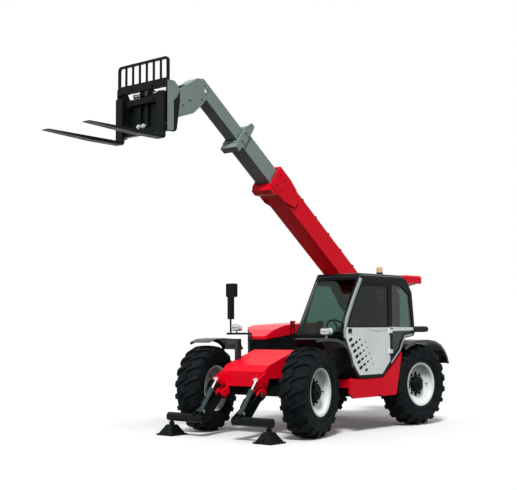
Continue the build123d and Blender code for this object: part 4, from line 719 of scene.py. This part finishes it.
stuffed_pad("seat_pad", "seat_cushion", 0, 2)
stuffed_pad("backrest_pad", "seat_back", 2, 0)
base_low, base_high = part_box("seat_base")
FOLD_HALF = (0.235, 0.19)
FOLD_CORNERS = ((1, 0.9), (0.9, 1), (-0.9, 1), (-1, 0.9), (-1, -0.9), (-0.9, -1), (0.9, -1), (1, -0.9))
heart = Vector((base_low.x + 0.215, (base_low.y + base_high.y) / 2, base_high.z - 0.062))
piece_of("seat_bellows", "chassis", "black_plastic", seal_rubber, *(
    (add_pipe, [heart + Vector((x * FOLD_HALF[0], y * FOLD_HALF[1], -0.022 * fold)) for x, y in FOLD_CORNERS],
     14, 8, True) for fold in range(4)))

# ---- Headlamps, beacon and rear lamp ----
# White moulded housings hold clear ribbed acrylic lenses in black bezels. The beacon has a ribbed amber dome on a
# black rubber foot, and the rear lamp a red lens in a black barrel with two cast clamps.
coat(moulded_plastic("white_moulded_plastic", "#E4EAEA", 9, 0.3), "headlamps")
coat(black_plastic, "mirror", "rear_lamp_housing")


def ribbed_lens(name, code, pitch, opacity=0.75):
    """Clear or coloured acrylic with moulded upright ribs: bright streaks inside a glossy face."""
    material, tree, shader, place = start_material(name)
    ribs = add_node(tree, "ShaderNodeTexWave", {"Vector": place, "Scale": 1 / (pitch * MM) / WAVE_SHARE},
                    bands_direction="Y").outputs["Fac"]
    feed(tree, shader, {
        "Base Color": drift(tree, place, code, 40, 0.92, 1.08), "Normal": relief(tree, ribs, 0.5, 1),
        "Roughness": 0.08, "Transmission Weight": 1 - opacity})
    return material


clear_lens = ribbed_lens("clear_ribbed_acrylic", "#F2F7F6", 6)
amber_lens = ribbed_lens("amber_acrylic", "#F6CE94", 9, 0.7)
red_lens = ribbed_lens("red_acrylic", "#A8121C", 8, 0.8)
AHEAD = Vector((1, 0, 0))


def oval(centre, out, wide, tall, corner, steps=6):
    """Points of a rounded rectangle that faces along a direction, its width level."""
    level = UP.cross(out).normalized()
    points = []
    for across, rise, first in ((1, 1, 0), (-1, 1, 90), (-1, -1, 180), (1, -1, 270)):
        for step in range(steps + 1):
            angle = radians(first + step * 90 / steps)
            points.append(centre + level * (across * (wide - corner) + corner * cos(angle)) * MM
                          + UP * (rise * (tall - corner) + corner * sin(angle)) * MM)
    return points


def glazed(glass_name, rim_name, face, out, layers, corner, rim, material):
    """Adds a lens or glass of rounded layers, (forwards, half width, half height) each, and a black bead round it
    whose half width and half height are the rim's."""
    glass = bmesh.new()
    add_lofted(glass, [oval(face + out * ahead * MM, out, wide, tall, corner) for ahead, wide, tall in layers])
    finish(glass_name, glass, "chassis", material, 60)
    piece_of(rim_name, "chassis", "black_plastic", black_plastic,
             (add_pipe, oval(face + out * MM, out, *rim, corner + 2), 4, 8, True))


for hand, face in (("left", spot(-430, 900, 1450)), ("right", spot(-519.4, -872, 1510))):
    glazed(f"lamp_lens_{hand}", f"lamp_bezel_{hand}", face, AHEAD,
           ((-2, 78, 43), (4, 78, 43), (8, 72, 38), (10, 60, 30)), 34, (80, 45), clear_lens)
low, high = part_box("beacon")
beacon_foot = Vector(((low.x + high.x) / 2, (low.y + high.y) / 2, low.z))
piece_of("beacon_foot", "chassis", "black_plastic", seal_rubber, (
    add_turned, [(0, 0), (60, 0), (62, 6), (60, 22), (50, 34), (50, 50), (0, 50)], beacon_foot, UP, 36))
dome = piece_of("beacon_dome", "chassis", "amber_lens", amber_lens, (
    add_turned, [(0, 50), (46, 50), (47, 56), (46, 112), (42, 126), (34, 135), (20, 139), (0, 140)], beacon_foot, UP,
    48, lambda angle: 1 + 0.012 * cos(16 * angle)))
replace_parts(dome, "beacon")
low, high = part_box("rear_lamp_housing")
tail = Vector((low.x, (low.y + high.y) / 2, (low.z + high.z) / 2))
piece_of("rear_lamp_lens", "chassis", "lamp_glass", red_lens,
         (add_turned, [(0, -8), (30, -8), (30, 0), (0, 0)], tail, -AHEAD))
piece_of("rear_lamp_clamps", "chassis", "dark_metal", cast_black, *(
    (add_turned, [(0, 0), (47.5, 0), (47.5, 20), (0, 20)], tail + AHEAD * along * MM, AHEAD, 40)
    for along in (120, 330)))

# ---- Mirror ----
# Silvered glass that looks back along the machine, in a moulded black head on a steel tube. A thin black rim
# holds the glass in its head.
glazed("mirror_glass", "mirror_rim", spot(-620, -1000, 2085), -AHEAD, ((-1, 82, 97), (1.5, 82, 97)), 20, (84, 99),
       bare_metal("silvered_mirror_glass", "#D5DCDE", 0.03, 80))

# ---- Boom ----
# Welded box sections: the outer one enamelled red, the two inner ones grey green. Bolts in the collars press the
# slide pads, which are brown nylon, and two hoses run in clips along the outer section's top edge.
BOOM_RISE = radians(36.5)
OUT = Vector((cos(BOOM_RISE), 0, sin(BOOM_RISE)))
OVER = Vector((-sin(BOOM_RISE), 0, cos(BOOM_RISE)))
grey_enamel = enamel("grey_green_enamel_on_boom", "#8B9B96", "#6B7873", 0.36, rounding=8)
coat(red_enamel, "boom_outer")
coat(grey_enamel, "boom_middle", "boom_inner")
coat(rubber("braided_hose_rubber", "#101315", "#1E2224"), "hose_line")


def on_boom(along, left, above):
    """A place on the boom, in millimetres along it from its pivot, left of its middle and above its centre line."""
    return PIVOT + (OUT * along + ACROSS * left + OVER * above) * MM


nylon = moulded_plastic("brown_slide_nylon", "#4A3B2C", 8, 0.55)
OUTER_FRONT = 3660  # the outer section's mouth, along the boom
collars = (  # body, the collar's front, half width, half height, length, paint and slot; the section inside, its rim
    ("boom", OUTER_FRONT, 185, 185, 260, red_enamel, "red_paint", 125, 128, 22),
    ("boom_middle", 4540, 147, 150, 150, grey_enamel, "grey_paint", 98, 100, 18),
)
for body, front, half, tall, length, paint, slot, width, height, rim in collars:
    bolts = [(on_boom(front - length * share, side * half, rise * tall * 0.5), ACROSS * side, 1.0)
             for side in (1, -1) for share in (0.3, 0.7) for rise in (1, -1)]
    bolts += [(on_boom(front - length * share, side * half * 0.5, tall), OVER, 1.0)
              for share in (0.3, 0.7) for side in (1, -1)]
    set_out(f"collar_bolts_{body}", hex_bolt, bolts, body, paint)
    beds = [bed for side in (1, -1) for bed in (
        ((0, side * (height + rim / 2 + 2)), (width * 0.6, rim * 0.35)),
        ((side * (width + rim / 2 + 2), 0), (rim * 0.35, height * 0.6)))]
    piece_of(f"slide_pads_{body}", body, "black_plastic", nylon, *(
        (add_lofted, [[on_boom(front + out, middle[0] + across * span[0], middle[1] + rise * span[1])
                       for across, rise in ((1, 1), (-1, 1), (-1, -1), (1, -1))] for out in (-8, 3)])
        for middle, span in beds))
piece_of("doubler_weld", "boom", "red_paint", red_enamel, *(
    (add_pipe, [on_boom(OUTER_FRONT - back, side * 161, above)
                for back, above in ((360, -186), (618, -92), (621, 40), (502, 151), (300, 186))], 6)
    for side in (1, -1)))
HEAD_SIDE = 98  # half the width of the boom's head
pin_heads("lift_pin_heads", "boom", [(on_boom(900, 0, -310), 110, 30, 8, 12, 6)], 24)
pin_heads("head_pin_covers", "boom_inner", [(on_boom(along, 0, above), HEAD_SIDE, radius, 8, 13, 8)
                                            for along, above, radius in ((5652, -700, 46), (5408, -20, 32))], 28)
set_out("head_bolts", hex_bolt, [
    (on_boom(along, side * HEAD_SIDE, above), ACROSS * side, 0.9) for side in (1, -1)
    for along, above in ((5400, 40), (5470, 40), (5400, -150), (5560, -330), (5610, -480))
], "boom_inner", grey_enamel)

# ---- Fork carriage ----
# Black enamelled frame with grey green side shields. A hitch plate carries it on the boom's ears, with a lock
# ram across the top and two quick couplers below. The forks are forged steel whose black paint is worn on top.
PIN = Vector(joints["carriage_tilt"]["pos_m"])
coat(black_enamel, "fork_carriage", "load_backrest")


def on_carriage(ahead, left, above):
    """A place on the carriage, in millimetres ahead of its pin, left of its middle and above the pin."""
    return PIN + Vector((ahead, left, above)) * MM


piece_of("side_shields", "carriage", "grey_paint", grey_enamel, *(
    (add_lofted, [[on_carriage(x, side * y, z) for x, z in (
        (384, -318), (396, -338), (496, -338), (496, 308), (366, 308), (300, 262), (284, 176), (324, 110),
        (384, 60))] for y in (474.5, 478)]) for side in (1, -1)))
piece_of("hitch_plate", "carriage", "black_paint", black_enamel,
         (add_lofted, [[on_carriage(x, y, z) for y, z in (
             (-322, -300), (322, -300), (322, 40), (190, 118), (-190, 118), (-322, 40))] for x in (418, 430)]),
         *((add_lofted, [[on_carriage(x, y, z) for x, z in (
             (300, -300), (420, -330), (432, -330), (432, 110), (360, 60))] for y in (left, left + 16)])
           for left in (-250, 234)))
piece_of("lock_ram_barrel", "carriage", "dark_metal", zinc, (
    add_turned, [(0, 0), (30, 0), (34, 6), (34, 14), (30, 18), (30, 250), (34, 256), (34, 268), (0, 270)],
    on_carriage(398, -250, 205), ACROSS, 28))
piece_of("lock_ram_rod", "carriage", "rod_chrome", chrome,
         (add_turned, [(0, 0), (15, 0), (15, 226), (0, 226)], on_carriage(398, 18, 205), ACROSS, 24),
         (add_turned, [(0, 0), (26, 0), (26, 30), (0, 30)], on_carriage(398, 236, 205), ACROSS, 24))
piece_of("quick_couplers", "carriage", "dark_metal", chrome, *(
    (add_turned, [(0, 0), (24, 0), (24, 22), (33, 26), (33, 62), (27, 66), (27, 80), (18, 84), (0, 84)],
     on_carriage(426, left, -250), Vector((1, 0, 0.35)), 24) for left in (-70, 20)))
piece_of("coupler_pipes", "carriage", "dark_metal", zinc, *(
    (add_pipe, [on_carriage(*place) for place in (
        (428, left, -250), (400, left, -250), (385, left, -230), (385, left * 0.4 - 150, -90),
        (388, left * 0.4 - 190, 80), (398, left * 0.4 - 200, 185))], 8) for left in (-70, 20)))
set_out("carriage_bolts", lambda: hex_bolt(26, 14, 20), [
    (on_carriage(500, side * 200, level), AHEAD, 1.0) for side in (1, -1) for level in (100, 275, -305)
], "carriage", black_enamel)


def worn_fork_steel():
    """Forged steel with black paint that loads have rubbed to bare metal along the blades' upper side."""
    material, tree, shader, place = start_material("worn_black_paint_on_forged_steel")
    facing = add_node(tree, "ShaderNodeNewGeometry").outputs["True Normal"]
    upward = add_node(tree, "ShaderNodeSeparateXYZ", {"Vector": facing}).outputs["Z"]
    drawn = add_node(tree, "ShaderNodeMapping", {"Vector": place, "Scale": (0.12, 1, 1)}).outputs["Vector"]
    rub = add_node(tree, "ShaderNodeMapRange", {"Value": noise(tree, drawn, 14, 5.0), "From Min": 0.5,
                                                "From Max": 0.72, "To Max": 0.35}).outputs["Result"]
    bared = add_node(tree, "ShaderNodeMath", {0: rub, 1: upward}, operation="MULTIPLY",
                     use_clamp=True).outputs["Value"]
    feed(tree, shader, {
        "Base Color": blend_of(tree, bared, linear("#101517"), linear("#6E7473")), "Metallic": bared,
        "Roughness": spread_of(tree, place, 60, 0.34, 0.55), "Specular IOR Level": 0.1})
    return material


coat(worn_fork_steel(), "forks")

# ---- Lift and tilt cylinders ----
# Honed steel barrels enamelled black, with hard chromed rods. A steel pipe runs along each barrel to its gland
# and is held by two straps.
for name, radius in (("lift", 68), ("tilt", 46)):  # and the radius of its barrel
    coat(black_enamel, f"{name}_barrel")
    coat(chrome, f"{name}_rod")
    foot = Vector(joints[f"{name}_barrel_swing"]["pos_m"])
    ahead = Vector(joints[f"{name}_rod_slide"]["axis"]).normalized()
    over = ahead.cross(ACROSS).normalized()
    low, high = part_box(f"{name}_barrel")
    axis = 0 if abs(ahead.x) > abs(ahead.z) else 2
    gland = abs((high - low)[axis] / ahead[axis]) / MM - radius * 2.6
    start = radius * 1.5
    piece_of(f"{name}_pipe", f"{name}_barrel", "dark_metal", zinc, (
        add_pipe, [foot + (ahead * at + over * (radius + out)) * MM for at, out in (
            (start, -4), (start, 10), (start + 12, 14), (gland - 12, 14), (gland, 10), (gland, -4))], 6))
    near, far = radius - 3, radius + 2
    piece_of(f"{name}_straps", f"{name}_barrel", "dark_metal", zinc, *(
        (add_turned, [(near, 0), (far, 0), (far, 22), (near, 22), (near, 0)], foot + ahead * gland * share * MM,
         ahead, 32) for share in (0.4, 0.75)))

# ---- Floor, light and camera ----
# A pale seamless studio floor under one broad lamp and an even sky. The floor is paler to the eye than the light
# that it sends back up, so the machine's underside stays dark.
CAMERA_PLACE = Vector((AXLE_X + 11.29, 9.69, 1.51))
CAMERA_YAW = radians(-139.5)
CAMERA_PITCH = radians(4.56)
CAMERA_ROLL = radians(0.25)
FLOOR_HALF = 60.0
GLOW_SHARE = 0.02  # how far the floor is lifted to white, where it is looked at
SKY_LEVEL = 0.52

sight = Vector((cos(CAMERA_PITCH) * cos(CAMERA_YAW), cos(CAMERA_PITCH) * sin(CAMERA_YAW),
                sin(CAMERA_PITCH)))
camera_data = bpy.data.cameras.new("camera")
camera_data.sensor_width = 36.0
camera_data.lens = 72.14
camera_data.clip_end = 200.0
camera = add_object("camera", camera_data)
turned_view = sight.to_track_quat("-Z", "Y").to_matrix().to_4x4() @ Matrix.Rotation(-CAMERA_ROLL, 4, "Z")
camera.matrix_world = Matrix.Translation(CAMERA_PLACE) @ turned_view
scene.camera = camera
scene.view_settings.view_transform = "Standard"


def seen_directly(tree):
    """1 for rays that show the backdrop itself: straight from the camera, off gloss or through glass."""
    path = add_node(tree, "ShaderNodeLightPath").outputs
    either = path["Is Camera Ray"]
    for label in ("Is Glossy Ray", "Is Transmission Ray"):
        either = add_node(tree, "ShaderNodeMath", {0: either, 1: path[label]}, operation="MAXIMUM").outputs["Value"]
    return either


floor_mesh = bpy.data.meshes.new("floor")
floor_mesh.from_pydata([(x * FLOOR_HALF, y * FLOOR_HALF, 0) for x, y in ((-1, -1), (1, -1), (1, 1), (-1, 1))], [],
                       [(0, 1, 2, 3)])
add_object("floor", floor_mesh)
floor_paper = bpy.data.materials.new("studio_floor")
tree = empty_tree(floor_paper)
dull, pale = (add_node(tree, "ShaderNodeBsdfDiffuse", {"Color": linear(code)}).outputs["BSDF"]
              for code in ("#262626", "#F4F4F4"))
glow = add_node(tree, "ShaderNodeEmission").outputs["Emission"]  # white
lifted = add_node(tree, "ShaderNodeMixShader", {0: GLOW_SHARE, 1: pale, 2: glow}).outputs["Shader"]
seen = add_node(tree, "ShaderNodeMixShader", {0: seen_directly(tree), 1: dull, 2: lifted})
add_node(tree, "ShaderNodeOutputMaterial", {"Surface": seen.outputs["Shader"]})
floor_mesh.materials.append(floor_paper)

scene.world = bpy.data.worlds.new("studio_sky")
tree = empty_tree(scene.world)
even, white = (add_node(tree, "ShaderNodeBackground", {"Color": linear(code), "Strength": level}).outputs["Background"]
               for code, level in (("#F7F9FB", SKY_LEVEL), ("#FFFFFF", 1.0)))
seen = add_node(tree, "ShaderNodeMixShader", {0: seen_directly(tree), 1: even, 2: white})
add_node(tree, "ShaderNodeOutputWorld", {"Surface": seen.outputs["Shader"]})

lamp_data = bpy.data.lights.new("key", "SUN")
lamp_data.energy = 2.9
lamp_data.angle = radians(12)
lamp = add_object("key", lamp_data)
lamp.rotation_euler = Vector((-0.75, -0.5, -1.0)).to_track_quat("-Z", "Y").to_euler()
